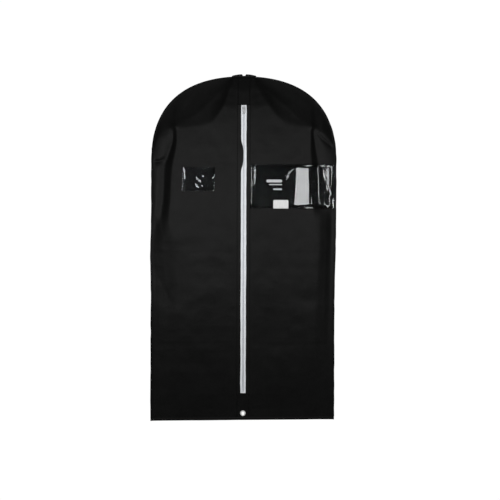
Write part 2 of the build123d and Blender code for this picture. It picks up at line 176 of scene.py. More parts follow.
def fold(x, z, route, rise, widths, sharp=0.12, fade=0.18):
    """A crease along a given route, rise high (less than 0 for a valley), which fades out at its ends.

    widths are how far it reaches on the left and on the right of its direction; a small sharp gives a crisp line.
    """
    route = np.array(route, float)
    steps = np.diff(route, axis=0)
    lengths = np.hypot(steps[:, 0], steps[:, 1])
    starts = np.concatenate(([0], np.cumsum(lengths)))
    nearest = np.full(np.shape(x), 1e9)
    side = np.zeros(np.shape(x))
    along = np.zeros(np.shape(x))
    for k, (start, step) in enumerate(zip(route, steps)):
        dx, dz = x - start[0], z - start[1]
        t = np.clip((dx * step[0] + dz * step[1]) / lengths[k] ** 2, 0, 1)
        gap = np.hypot(dx - t * step[0], dz - t * step[1])
        closer = gap < nearest
        nearest = np.where(closer, gap, nearest)
        side = np.where(closer, step[0] * dz - step[1] * dx, side)
        along = np.where(closer, (starts[k] + t * lengths[k]) / starts[-1], along)
    width = np.where(side > 0, widths[0], widths[1])
    share = nearest / width
    profile = np.exp(-(np.sqrt(share**2 + sharp**2) - sharp) * 1.6)
    ends = smooth_step(along, -0.001, fade) * smooth_step(-along, -1.001, -1 + fade)
    return rise * profile * ends


def folded(depth, x, z, folds, strength):
    """The depth with each of the folds added, as strong as the given share."""
    for crease in folds:
        depth = depth + fold(x, z, *crease) * strength
    return depth


def middle_depth(z):
    """Front depth in the middle: an eased neck, the zip's straight line, a taper to the flat hem."""
    share = np.clip((DOME_TOP_Z - z) / NECK_HEIGHT, 0, 1)
    slope = (ZIP_TOP_DEPTH - ZIP_BOTTOM_DEPTH) / (ZIP_TOP_Z - ZIP_BOTTOM_Z)
    straight = ZIP_TOP_DEPTH + slope * (z - ZIP_TOP_Z)
    neck = NECK_DEPTH + (straight - NECK_DEPTH) * (1 - (1 - share) ** 1.3)
    taper = smooth_step(z, FLAT_HEM_Z, ZIP_BOTTOM_Z)
    hem = HEM_DEPTH + (ZIP_BOTTOM_DEPTH - HEM_DEPTH) * taper
    return np.where(z > ZIP_BOTTOM_Z, neck, hem)


# The line on the front under which the cloth hangs straight, and over which it is hollow up to the edge:
# from the left side over the hanger's end up to the collar, and from there down to the right side
LEFT_SHOULDER = (
    (-294, -262), (-289, -232), (-281, -200), (-264, -175), (-240, -165), (-217, -161),
    (-183, -162), (-139, -158), (-99, -144), (-66, -98), (-39, -6),
)
RIGHT_SHOULDER = (
    (36, -6), (60, -60), (98, -116), (122, -142), (156, -154), (217, -160), (271, -186), (286, -222), (294, -262),
)
shoulder_points = np.array(LEFT_SHOULDER + RIGHT_SHOULDER, float)
shoulder_x = np.arange(-HALF_WIDTH, HALF_WIDTH + 1.0, 2.0)
shoulder_z = np.interp(shoulder_x, shoulder_points[:, 0], shoulder_points[:, 1])
for _ in range(3):
    shoulder_z[3:-3] = np.convolve(shoulder_z, np.ones(7) / 7, "valid")


def shoulder_height(x):
    return np.interp(x, shoulder_x, shoulder_z)


def edge_gap(x, z):
    """Rough distance to the bag's outline."""
    return np.minimum(np.minimum(half_width(z) - np.abs(x), edge_height(x) - z), z - HEM_Z)


# Sections across the front under the shoulders: a height, then (x, depth) of the left rim, the left sleeve, the
# valley beside it, the chest's left edge, the chest's right edge, the right valley, the right sleeve and its rim
FRONT_SECTIONS = (
    (-150, (-288, 5), (-246, 13), (-228, 19), (-215, 23), (215, 23), (227, 19), (246, 13), (288, 4)),
    (-180, (-288, 5), (-243, 13), (-225, 15), (-213, 22), (212, 22), (222, 15), (233, 16), (288, 3.6)),
    (-205, (-289, 5), (-245, 12.4), (-227, 11), (-213, 21.4), (212, 21.4), (226, 11), (240, 13), (288, 3.2)),
    (-235, (-289, 5), (-253, 10), (-236, 6), (-216, 20.6), (212, 20.8), (231, 7), (251, 9.4), (289, 2.4)),
    (-290, (-289, 4.5), (-269, 7.6), (-254, 3.6), (-226, 18.6), (214, 20), (241, 4), (262, 6.2), (289, 3)),
    (-350, (-289, 4.2), (-273, 7), (-257, 3.8), (-230, 17.6), (214, 19.4), (247, 3.2), (267, 4.8), (289, 2.6)),
    (-400, (-289, 4), (-276, 6.4), (-260, 4), (-232, 17), (216, 19), (248, 5), (270, 3.4), (289, 1.6)),
    (-440, (-289, 3.4), (-281, 4.6), (-266, 4.8), (-235, 16.4), (217, 18.6), (240, 14), (262, 7.6), (284, 1)),
    (-480, (-289, 1.2), (-281, 2.2), (-262, 8), (-232, 15.8), (215, 18.4), (238, 15.4), (262, 8.4), (284, 0.8)),
    (-530, (-289, 0.9), (-276, 3.6), (-250, 10.4), (-210, 17), (211, 18), (238, 15), (262, 8.2), (284, 0.8)),
    (-610, (-289, 0.9), (-274, 4), (-246, 10), (-206, 16.4), (207, 17.4), (236, 14.4), (261, 7.8), (284, 0.8)),
    (-700, (-289, 2), (-272, 5), (-243, 9.6), (-206, 15.6), (198, 16.4), (232, 13.4), (260, 7), (284, 0.8)),
    (-800, (-289, 3), (-272, 5.4), (-244, 8.8), (-206, 13.8), (184, 15.2), (228, 11.6), (258, 5.6), (284, 0.8)),
    (-900, (-289, 3), (-272, 5.4), (-244, 7.8), (-206, 11.6), (184, 12.8), (226, 9.4), (256, 4.6), (284, 1)),
    (-1010, (-289, 2.4), (-272, 4), (-244, 5.2), (-206, 6.8), (196, 6.8), (240, 4.8), (268, 3.2), (289, 2)),
    (-1090, (-289, 1.4), (-272, 1.8), (-244, 2), (-206, 2), (200, 2), (244, 2), (270, 1.8), (289, 1.4)),
)
section_z = np.array([row[0] for row in FRONT_SECTIONS][::-1], float)
section_points = np.array([row[1:] for row in FRONT_SECTIONS][::-1], float)
# Part of the way from the zip to each chest edge, a point whose depth lies between the two keeps the chest flat
FLAT_SHARE = 0.7
FLAT_FROM_ZIP = 0.42
FLAT_FROM_EDGE = 0.58


def hermite(share, start, end, slope_start, slope_end):
    """A smooth curve between two values with given slopes."""
    squared, cubed = share**2, share**3
    return (
        (2 * cubed - 3 * squared + 1) * start
        + (cubed - 2 * squared + share) * slope_start
        + (3 * squared - 2 * cubed) * end
        + (cubed - squared) * slope_end
    )


def along_bag(values, z):
    """Values given at the sections, eased between them."""
    k = np.clip(np.searchsorted(section_z, z) - 1, 0, len(section_z) - 2)
    share = np.clip((z - section_z[k]) / (section_z[k + 1] - section_z[k]), 0, 1)
    gaps = np.diff(section_z)
    rates = np.diff(values) / gaps
    inner = np.where(rates[1:] * rates[:-1] > 0, (rates[1:] + rates[:-1]) / 2, 0)
    slopes = np.concatenate(([0], inner, [0]))
    return hermite(share, values[k], values[k + 1], slopes[k] * gaps[k], slopes[k + 1] * gaps[k])


def section_depth(x, z):
    """Depth of the hanging front at any x and height: an eased curve through the nearest sections' points."""
    middle = middle_depth(z)
    columns = [(along_bag(section_points[:, k, 0], z), along_bag(section_points[:, k, 1], z)) for k in range(8)]
    left, right = [
        (FLAT_SHARE * place, FLAT_FROM_ZIP * middle + FLAT_FROM_EDGE * depth) for place, depth in columns[3:5]
    ]
    low_side, high_side = [(0 * z + side * (HALF_WIDTH + 1), 0 * z + EDGE) for side in (-1, 1)]
    columns = [low_side, *columns[:4], left, (0 * z, middle), right, *columns[4:], high_side]
    places = np.stack([column[0] for column in columns])
    depths = np.stack([column[1] for column in columns])
    gaps = np.diff(places, axis=0)
    rates = np.diff(depths, axis=0) / gaps
    same = rates[1:] * rates[:-1] > 0
    inner = np.where(same, 2 * rates[1:] * rates[:-1] / np.where(same, rates[1:] + rates[:-1], 1), 0)
    slopes = np.concatenate([rates[:1], inner, rates[-1:]])
    total = np.zeros(np.shape(x))
    for k in range(len(columns) - 1):
        share = np.clip((x - places[k]) / gaps[k], 0, 1)
        here = (x >= places[k]) & (x < places[k + 1])
        part = hermite(share, depths[k], depths[k + 1], slopes[k] * gaps[k], slopes[k + 1] * gaps[k])
        total = np.where(here, part, total)
    return total


FRONT_FOLDS = (
    # pinches at the sides
    ([(226, -172), (252, -200), (294, -232)], -3.2, (7, 12), 0.2, 0.2),
    ([(-296, -272), (-266, -271), (-250, -258)], -4.5, (7, 12), 0.15, 0.3),
    # tension from the collar to the hanger's ends
    ([(-37, -10), (-143, -116), (-214, -158)], 2.0, (16, 20), 0.4, 0.3),
    ([(37, -10), (183, -140), (214, -158)], 1.6, (16, 14), 0.3, 0.3),
    ([(-60, -14), (-160, -78), (-236, -160)], -1.2, (22, 22), 0.5, 0.35),
    ([(60, -14), (160, -78), (236, -160)], -1.2, (22, 22), 0.5, 0.35),
    # the cloth is a little slack beside the zip's top end
    ([(28, -36), (54, -104)], -3.4, (30, 30), 0.8, 0.4),
    ([(-28, -36), (-54, -104)], -3.6, (30, 30), 0.8, 0.4),
    # the lower body
    ([(-290, -600), (-262, -660), (-221, -748)], -2.6, (18, 34), 0.5, 0.4),
    ([(196, -672), (214, -750)], -2.0, (36, 36), 0.8, 0.5),
    ([(-40, -560), (-70, -610), (-104, -664)], -1.6, (44, 44), 0.8, 0.5),
    ([(-190, -520), (-168, -640), (-176, -780)], 0.9, (50, 50), 0.8, 0.5),
    ([(120, -520), (134, -660), (116, -860)], 0.8, (56, 50), 0.8, 0.5),
    ([(-120, -820), (-150, -900), (-140, -1000)], 0.8, (44, 50), 0.8, 0.5),
    ([(190, -860), (214, -960), (206, -1040)], -1.0, (34, 44), 0.7, 0.5),
)
PACKING_CREASES = (-266.0, -553.0, -843.0)  # where the bag was folded in its package


def crumple(x, z, seed):
    """Small soft dents and fine ridges of cloth that has been folded."""
    low = lattice_noise(x, z, 115, seed) * 1.5
    middle = lattice_noise(x + 0.3 * z, z, 52, seed + 1) * 0.7
    warp = 9 * lattice_noise(x, z, 45, seed + 2)
    ridges = 1 - 2 * np.abs(lattice_noise(x + warp, z - warp, 34, seed + 3))
    fine = 1 - 2 * np.abs(lattice_noise(x - warp, 0.8 * z + warp, 17, seed + 4))
    return 0.55 * low + 0.5 * middle + 0.16 * ridges + 0.07 * fine


def packing(x, z):
    """The straight creases across the bag, each a low ridge with a drop under it."""
    total = 0
    for crease_z in PACKING_CREASES:
        line = crease_z + 2.0 * lattice_noise(x, 0 * x, 90, 31)
        strength = 0.6 + 0.4 * lattice_noise(x, 0 * x, 60, 33)
        ridge = 0.16 * np.exp(-(((z - line) / 5.0) ** 2))
        drop = 0.15 * np.exp(-(((z - line + 10) / 8.0) ** 2))
        total = total + strength * (ridge - drop)
    return total


settled = {}  # what the cloth simulation adds to each side's depth, on its own grid


def settled_depth(side, x, z):
    if side not in settled:
        return 0.0
    xs, zs, grid = settled[side]
    u = np.clip((x - xs[0]) / (xs[1] - xs[0]), 0, len(xs) - 1.001)
    v = np.clip((z - zs[0]) / (zs[1] - zs[0]), 0, len(zs) - 1.001)
    i, j = np.floor(u).astype(int), np.floor(v).astype(int)
    fu, fv = u - i, v - j
    low = grid[j, i] * (1 - fu) + grid[j, i + 1] * fu
    high = grid[j + 1, i] * (1 - fu) + grid[j + 1, i + 1] * fu
    return low * (1 - fv) + high * fv


def front_shape(x, z):
    """Depth of the front without its small creases."""
    x, z = np.asarray(x, float), np.asarray(z, float)
    line = shoulder_height(x)
    below = np.minimum(z, line)
    hanging = section_depth(x, below)
    top = np.maximum(edge_height(x), line + 0.5)
    over = 0.5 * (z - line + np.hypot(z - line, SHOULDER_SOFTNESS)) - SHOULDER_SOFTNESS**2 / 400
    share = np.clip(over / (top - line), 0, 1)
    hollow = EDGE + (hanging - EDGE) * (1 - share) ** 1.5
    neck = 1 - smooth_step(np.abs(x), COLLAR_HALF - 6, COLLAR_HALF + 6)
    straight = EDGE + (middle_depth(z) - EDGE) * lens(x / HALF_WIDTH)
    depth = hollow * (1 - neck) + straight * neck
    depth = folded(depth, x, z, FRONT_FOLDS, smooth_step(edge_gap(x, z), 2, 16))
    tips = np.exp(-(((np.abs(x) - SHOULDER_X) / 12) ** 2) - ((z - SHOULDER_Z) / 9) ** 2)
    return np.maximum(depth + 1.5 * tips, EDGE)


def zip_calm(x):
    """0 on the centre band, 1 on the open cloth."""
    return smooth_step(np.abs(x), BAND + 1, BAND + 30)


def front_depth(x, z):
    """Depth of the front cloth's outer face."""
    x, z = np.asarray(x, float), np.asarray(z, float)
    calm = smooth_step(edge_gap(x, z), 3, 30) * (0.12 + 0.88 * zip_calm(x))
    seam = np.exp(-(((np.abs(x) - BAND) / 1.3) ** 2))
    plain = smooth_step(z, ZIP_TOP_Z, ZIP_TOP_Z + 2) + smooth_step(-z, -ZIP_BOTTOM_Z, 2 - ZIP_BOTTOM_Z)
    plain = np.clip(plain, 0, 1)
    depth = front_shape(x, z) + calm * (crumple(x, z, 5) + packing(x, z)) - 0.9 * seam * plain
    return np.maximum(depth + settled_depth("front", x, z), EDGE)


BACK_STATIONS = ((-62.6, 0.615), (-300.0, 1.0), (-650.0, 0.923), (-1008.0, 0.5))  # height, share of the depth
BACK_FOLDS = (
    ([(-214, -170), (-236, -280), (-250, -420), (-262, -560)], -6.0, (16, 22), 0.4, 0.2),
    ([(214, -170), (238, -280), (250, -420), (264, -560)], -6.0, (22, 16), 0.4, 0.2),
    ([(-30, -16), (-130, -96), (-210, -160)], 3.0, (12, 12), 0.4, 0.25),
    ([(30, -16), (130, -96), (210, -160)], 3.0, (12, 12), 0.4, 0.25),
    ([(-120, -420), (-96, -620), (-120, -860)], 2.6, (34, 34), 0.6, 0.4),
    ([(96, -380), (120, -600), (88, -820)], 2.4, (34, 34), 0.6, 0.4),
    ([(0, -200), (-12, -420), (6, -640)], -2.0, (38, 38), 0.6, 0.4),
    ([(-288, -700), (-232, -760), (-200, -840)], -4.0, (10, 16), 0.3, 0.3),
    ([(288, -640), (240, -720), (214, -820)], -4.0, (16, 10), 0.3, 0.3),
)


def back_shape(x, z):
    x, z = np.asarray(x, float), np.asarray(z, float)
    heights, shares = zip(*BACK_STATIONS[::-1])
    swell = np.interp(z, heights, shares) * BACK_DEPTH
    share = np.clip((DOME_TOP_Z - z) / NECK_HEIGHT, 0, 1)
    neck = NECK_DEPTH + (swell - NECK_DEPTH) * np.sin(share * math.pi / 2)
    hem = HEM_DEPTH + (BACK_DEPTH * BACK_STATIONS[-1][1] - HEM_DEPTH) * smooth_step(z, FLAT_HEM_Z, ZIP_BOTTOM_Z)
    middle = np.where(z > ZIP_BOTTOM_Z, neck, hem)
    depth = EDGE + (middle - EDGE) * lens(x / np.maximum(half_width(z), 1))
    depth = folded(depth, x, z, BACK_FOLDS, smooth_step(edge_gap(x, z), 2, 16))
    return np.maximum(depth, EDGE)


def back_depth(x, z):
    x, z = np.asarray(x, float), np.asarray(z, float)
    calm = smooth_step(edge_gap(x, z), 3, 30)
    depth = back_shape(x, z) + calm * (crumple(x, z, 57) + packing(x, z))
    return np.maximum(depth + settled_depth("back", x, z), EDGE)


# ------------------------------------------------------------------ mesh helpers


def hung(points):
    """The points with a hanging bag's drift: its lower right side drawn in, its hem not quite level."""
    points = np.array(points, float)
    x, z = points[:, 0], points[:, 2]
    drawn_in = 4.4 * smooth_step(x, 120, HALF_WIDTH) * smooth_step(-z, 480, 720)
    drawn_out = 2.6 * smooth_step(-x, 150, HALF_WIDTH) * np.exp(-(((z + 570) / 60) ** 2))
    points[:, 0] = x - drawn_in - drawn_out
    points[:, 2] = z + 3.4 * np.clip(x / HALF_WIDTH, -1, 1) * smooth_step(-z, 880, -HEM_Z)
    return points


def new_object(name, points, faces, material, slot, replaced=()):
    """A mesh object from points in millimetres, riding on the bag and standing for CAD nodes."""
    mesh = bpy.data.meshes.new(name)
    mesh.from_pydata((hung(points) * MM).tolist(), [], [list(map(int, f)) for f in faces])
    mesh.update()
    mesh.polygons.foreach_set("use_smooth", [True] * len(mesh.polygons))
    mesh.materials.append(material)
    piece = bpy.data.objects.new(name, mesh)
    scene.collection.objects.link(piece)
    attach(piece, BAG)
    if replaced:
        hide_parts(*replaced)
    return piece


def grid(x_range, z_range, cell, inside=None, rim=None):
    """Points (x, z) and quads of a flat grid facing -Y.

    inside drops cells, and rim moves the new border onto a line.
    """
    columns = max(1, round((x_range[1] - x_range[0]) / cell)) + 1
    rows = max(1, round((z_range[1] - z_range[0]) / cell)) + 1
    x, z = np.meshgrid(np.linspace(*x_range, columns), np.linspace(*z_range, rows))
    points = np.stack([x.ravel(), z.ravel()], axis=1)
    first = (np.arange(rows - 1)[:, None] * columns + np.arange(columns - 1)[None]).ravel()
    quads = np.stack([first, first + 1, first + columns + 1, first + columns], axis=1)
    if inside is None:
        return points, quads
    centres = points[quads].mean(axis=1)
    quads = quads[inside(centres[:, 0], centres[:, 1])]
    uses = np.bincount(quads.ravel(), minlength=len(points))
    on_box = (
        np.isclose(points[:, 0], x_range[0])
        | np.isclose(points[:, 0], x_range[1])
        | np.isclose(points[:, 1], z_range[0])
        | np.isclose(points[:, 1], z_range[1])
    )
    border = np.flatnonzero((uses > 0) & (uses < 4) & ~on_box)
    for k in border:
        gaps = np.hypot(rim[:, 0] - points[k, 0], rim[:, 1] - points[k, 1])
        points[k] = rim[np.argmin(gaps)]
    kept, flat = np.unique(quads.ravel(), return_inverse=True)
    return points[kept], flat.reshape(quads.shape)


def normals_of(points, quads):
    corner = points[quads]
    face = np.cross(corner[:, 2] - corner[:, 0], corner[:, 3] - corner[:, 1])
    total = np.zeros_like(points)
    for k in range(4):
        np.add.at(total, quads[:, k], face)
    return total / np.maximum(np.linalg.norm(total, axis=1), 1e-9)[:, None]


def closed_sheet(points, quads, thickness):
    """The closed thin solid whose outer face is the given surface."""
    points = np.asarray(points, float)
    inner = points - normals_of(points, quads) * thickness
    edges = np.concatenate([quads[:, [k, (k + 1) % 4]] for k in range(4)])
    key = np.sort(edges, axis=1)
    _, where, counts = np.unique(key, axis=0, return_index=True, return_counts=True)
    border = edges[where[counts == 1]]
    count = len(points)
    rim = np.stack([border[:, 1], border[:, 0], border[:, 0] + count, border[:, 1] + count], axis=1)
    return np.concatenate([points, inner]), np.concatenate([quads, quads[:, ::-1] + count, rim])


def loft(rings, capped=True):
    """Points and faces of a closed tube through rings of points."""
    rings = np.asarray(rings, float)
    count, size = rings.shape[:2]
    first = np.arange(count - 1)[:, None] * size
    here = np.arange(size)[None]
    there = (here + 1) % size
    quads = np.stack([first + here, first + there, first + size + there, first + size + here], axis=2)
    faces = quads.reshape(-1, 4).tolist()
    if capped:
        faces.append(list(range(size))[::-1])
        faces.append([(count - 1) * size + k for k in range(size)])
    return rings.reshape(-1, 3), faces


def merged(parts):
    """Several (points, faces) as one."""
    points, faces, start = [], [], 0
    for some_points, some_faces in parts:
        points.append(some_points)
        faces.extend([[start + k for k in face] for face in some_faces])
        start += len(some_points)
    return np.concatenate(points), faces


def resampled(route, step):
    """Points at even steps along a route."""
    route = np.asarray(route, float)
    lengths = np.concatenate(([0], np.cumsum(np.linalg.norm(np.diff(route, axis=0), axis=1))))
    count = max(2, round(lengths[-1] / step) + 1)
    places = np.linspace(0, lengths[-1], count)
    return np.stack([np.interp(places, lengths, route[:, k]) for k in range(route.shape[1])], axis=1)


STITCH = 3.4  # one stitch and the gap after it
THREAD = 0.24  # radius
# Rings of one stitch: place along it, height and thickness
STITCH_RINGS = ((0.06, -0.16, 0.55), (0.22, 0.2, 1.0), (0.62, 0.22, 1.0), (0.8, -0.16, 0.55))
STITCH_SIDES = 5


def stitches(route, out):
    """Threads along a route of points on the cloth, each one a short arc that dips in at both ends."""
    knots = resampled(route, STITCH)
    start, along = knots[:-1], np.diff(knots, axis=0)
    across = np.cross(along, out)
    across /= np.maximum(np.linalg.norm(across, axis=1), 1e-9)[:, None]
    rows = []
    for place, height, thickness in STITCH_RINGS:
        centre = start + along * place + out * height
        for k in range(STITCH_SIDES):
            angle = 2 * math.pi * k / STITCH_SIDES
            rows.append(centre + (across * math.cos(angle) + out * math.sin(angle)) * THREAD * thickness)
    one_stitch = loft(np.zeros((len(STITCH_RINGS), STITCH_SIDES, 3)))[1]
    faces = [[s * len(rows) + k for k in face] for s in range(len(start)) for face in one_stitch]
    return np.stack(rows, axis=1).reshape(-1, 3), faces


def facing(x, depth, z):
    """Points that stand the given depth in front of the middle plane."""
    return np.stack([x, -depth, z], axis=-1)


def on_front(x, z, lift):
    """Points on the front cloth, lifted off it."""
    x, z = np.broadcast_arrays(np.asarray(x, float), np.asarray(z, float))
    return facing(x, front_depth(x, z) + lift, z)


def on_back(x, z, lift):
    x, z = np.broadcast_arrays(np.asarray(x, float), np.asarray(z, float))
    return np.stack([x, back_depth(x, z) + lift, z], axis=-1)


# ------------------------------------------------------------------ materials


def add_node(nodes, kind, **settings):
    """A new node, with its inputs or its own settings given by name."""
    made = nodes.new(kind)
    for key, value in settings.items():
        if key in made.inputs.keys():
            made.inputs[key].default_value = value
        else:
            setattr(made, key, value)
    return made


class Surface:
    """A material in the making: its nodes, and the shader that they feed."""

    def __init__(self, name, **settings):
        self.material = bpy.data.materials.new(name)
        self.material.use_nodes = True
        tree = self.material.node_tree
        self.nodes, self.join = tree.nodes, tree.links.new
        self.shader = tree.nodes["Principled BSDF"]
        for key, value in settings.items():
            self.shader.inputs[key.replace("_", " ")].default_value = value

    def fed(self, kind, source, socket, output, **settings):
        """The output of a new node, one of whose inputs is fed."""
        made = add_node(self.nodes, kind, **settings)
        self.join(source, made.inputs[socket])
        return made.outputs[output]

    def place(self, turn=(0, 0, 0), scale=(1, 1, 1)):
        """Object coordinates, turned and scaled."""
        coordinates = add_node(self.nodes, "ShaderNodeTexCoord").outputs["Object"]
        return self.fed("ShaderNodeMapping", coordinates, "Vector", "Vector", Rotation=turn, Scale=scale)

    def stripes(self, place, direction, period):
        """Stripes across one axis with a period in metres."""
        look = {"Scale": 2 * math.pi / (20 * period), "Distortion": 0.0, "bands_direction": direction}
        return self.fed("ShaderNodeTexWave", place, "Vector", "Fac", **look)

    def noise(self, place, scale, detail, roughness):
        look = {"Scale": scale, "Detail": detail, "Roughness": roughness}
        return self.fed("ShaderNodeTexNoise", place, "Vector", "Fac", **look)

    def combined(self, operation, a, b):
        """Two sockets, or a socket and a number, put together."""
        made = add_node(self.nodes, "ShaderNodeMath", operation=operation)
        for socket, value in zip(made.inputs, (a, b)):
            if isinstance(value, (int, float)):
                socket.default_value = value
            else:
                self.join(value, socket)
        return made.outputs["Value"]

    def colour(self, factor, dark, light):
        """Feeds the base colour, which runs from dark to light with the factor."""
        ramp = add_node(self.nodes, "ShaderNodeValToRGB")
        for stop, position, tone in zip(ramp.color_ramp.elements, (0.3, 0.7), (dark, light)):
            stop.position = position
            stop.color = (*tone, 1)
        self.join(factor, ramp.inputs["Fac"])
        self.join(ramp.outputs["Color"], self.shader.inputs["Base Color"])

    def roughness(self, factor, low, high):
        """Feeds the roughness, which runs from low to high with the factor."""
        result = self.fed("ShaderNodeMapRange", factor, "Value", "Result", **{"To Min": low, "To Max": high})
        self.join(result, self.shader.inputs["Roughness"])

    def bumps(self, *layers):
        """Stacks bumps: each layer is a height, its depth in metres and its strength."""
        last = None
        for height, distance, strength in layers:
            bump = add_node(self.nodes, "ShaderNodeBump", Distance=distance, Strength=strength)
            self.join(height, bump.inputs["Height"])
            if last is not None:
                self.join(last, bump.inputs["Normal"])
            last = bump.outputs["Normal"]
        self.join(last, self.shader.inputs["Normal"])


def nonwoven(name, dark, light, bond_pitch, roughness):
    """Spun-bonded cloth: matt fibres pressed together by a lattice of small bond points."""
    made = Surface(name, Specular_IOR_Level=0.065, Sheen_Weight=0.01, Sheen_Roughness=0.4)
    place = made.place()
    slanted = made.place(turn=(0, math.radians(45), 0))
    bonds = made.combined("MULTIPLY", *[made.stripes(slanted, axis, bond_pitch) for axis in "XZ"])
    fibres = made.noise(made.place(scale=(1, 1, 0.35)), 2600, 4, 0.6)
    clouds = made.noise(place, 22, 5, 0.6)
    wear = made.noise(place, 190, 3, 0.55)
    mixed = made.combined("ADD", made.combined("MULTIPLY", clouds, 0.65), made.combined("MULTIPLY", wear, 0.35))
    made.colour(mixed, dark, light)
    made.roughness(wear, roughness - 0.07, roughness + 0.07)
    made.bumps((clouds, 0.0008, 0.25), (fibres, 0.00008, 0.35), (bonds, 0.00012, 0.45))
    return made.material


def woven(name, dark, light, rib, roughness, sheen=0.1, specular=0.5):
    """A woven ribbon with ribs along it and threads across."""
    made = Surface(name, Sheen_Weight=sheen, Sheen_Roughness=0.4, Specular_IOR_Level=specular)
    place = made.place()
    weave = made.combined("MULTIPLY", made.stripes(place, "X", rib), made.stripes(place, "Z", 0.6 * rib))
    clouds = made.noise(place, 160, 4, 0.6)
    made.colour(clouds, dark, light)
    made.roughness(clouds, roughness - 0.06, roughness + 0.06)
    made.bumps((clouds, 0.0002, 0.2), (weave, 0.0001, 0.5))
    return made.material


def clear_film(name):
    """Soft clear film, glossy with faint flow marks and haze."""
    made = Surface(name, Base_Color=(0.78, 0.81, 0.83, 1), Transmission_Weight=1.0, IOR=1.33)
    place = made.place()
    flow = made.noise(made.place(scale=(1, 1, 0.4)), 34, 3, 0.5)
    haze = made.noise(place, 420, 3, 0.6)
    made.roughness(haze, 0.025, 0.06)
    made.bumps((flow, 0.0006, 0.25), (haze, 0.00003, 0.15))
    return made.material


def moulded(name, dark, light, roughness):
    """Moulded plastic with a fine skin."""
    made = Surface(name, IOR=1.5)
    clouds = made.noise(made.place(), 500, 3, 0.5)
    made.colour(clouds, dark, light)
    made.roughness(clouds, roughness - 0.05, roughness + 0.05)
    made.bumps((clouds, 0.00005, 0.25))
    return made.material


def plated(name, dark, light, roughness, grain):
    """Plated metal with fine scratches and slightly worn patches."""
    made = Surface(name, Metallic=1.0)
    clouds = made.noise(made.place(), 260, 4, 0.6)
    scratches = made.noise(made.place(scale=(1, 1, 0.08)), grain, 3, 0.7)
    made.colour(clouds, dark, light)
    made.roughness(scratches, roughness - 0.06, roughness + 0.1)
    made.bumps((clouds, 0.00006, 0.3), (scratches, 0.00002, 0.3))
    return made.material


cloth_black = nonwoven("cloth_black", (0.0042, 0.0043, 0.0042), (0.0064, 0.0065, 0.0064), 0.0014, 0.42)
tape_black = nonwoven("tape_black", (0.0038, 0.0039, 0.0038), (0.0055, 0.0056, 0.0055), 0.0011, 0.45)
thread_black = woven("thread_black", (0.004, 0.004, 0.004), (0.008, 0.008, 0.008), 0.0004, 0.5, 0.01, 0.06)
film_clear = clear_film("film_clear")
tape_white = woven("tape_white", (0.74, 0.77, 0.8), (0.84, 0.86, 0.88), 0.0009, 0.7)
coil_white = moulded("coil_white", (0.7, 0.73, 0.77), (0.8, 0.82, 0.85), 0.35)
stop_white = moulded("stop_white", (0.76, 0.78, 0.8), (0.84, 0.85, 0.87), 0.4)
label_white = woven("label_white", (0.7, 0.7, 0.7), (0.82, 0.82, 0.82), 0.0006, 0.75)
print_grey = moulded("print_grey", (0.42, 0.43, 0.44), (0.62, 0.63, 0.64), 0.5)
metal_grey = plated("metal_grey", (0.2, 0.205, 0.21), (0.32, 0.325, 0.33), 0.36, 900)
metal_bright = plated("metal_bright", (0.74, 0.74, 0.73), (0.88, 0.88, 0.87), 0.5, 1200)


def dress_node(name, material):
    """Gives a carried-over CAD node its material."""
    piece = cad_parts[name]
    piece.data.materials.clear()
    piece.data.materials.append(material)


# ------------------------------------------------------------------ cloth settling


SMOOTHING = 5  # passes that take the mesh's own grain out of the settled cloth
HANGING = {
    "quality": 5,
    "mass": 0.02,
    "tension_stiffness": 12,
    "compression_stiffness": 12,
    "shear_stiffness": 4,
    "bending_stiffness": 6,
    "tension_damping": 12,
    "compression_damping": 12,
    "bending_damping": 5,
    "pin_stiffness": 1.0,
}


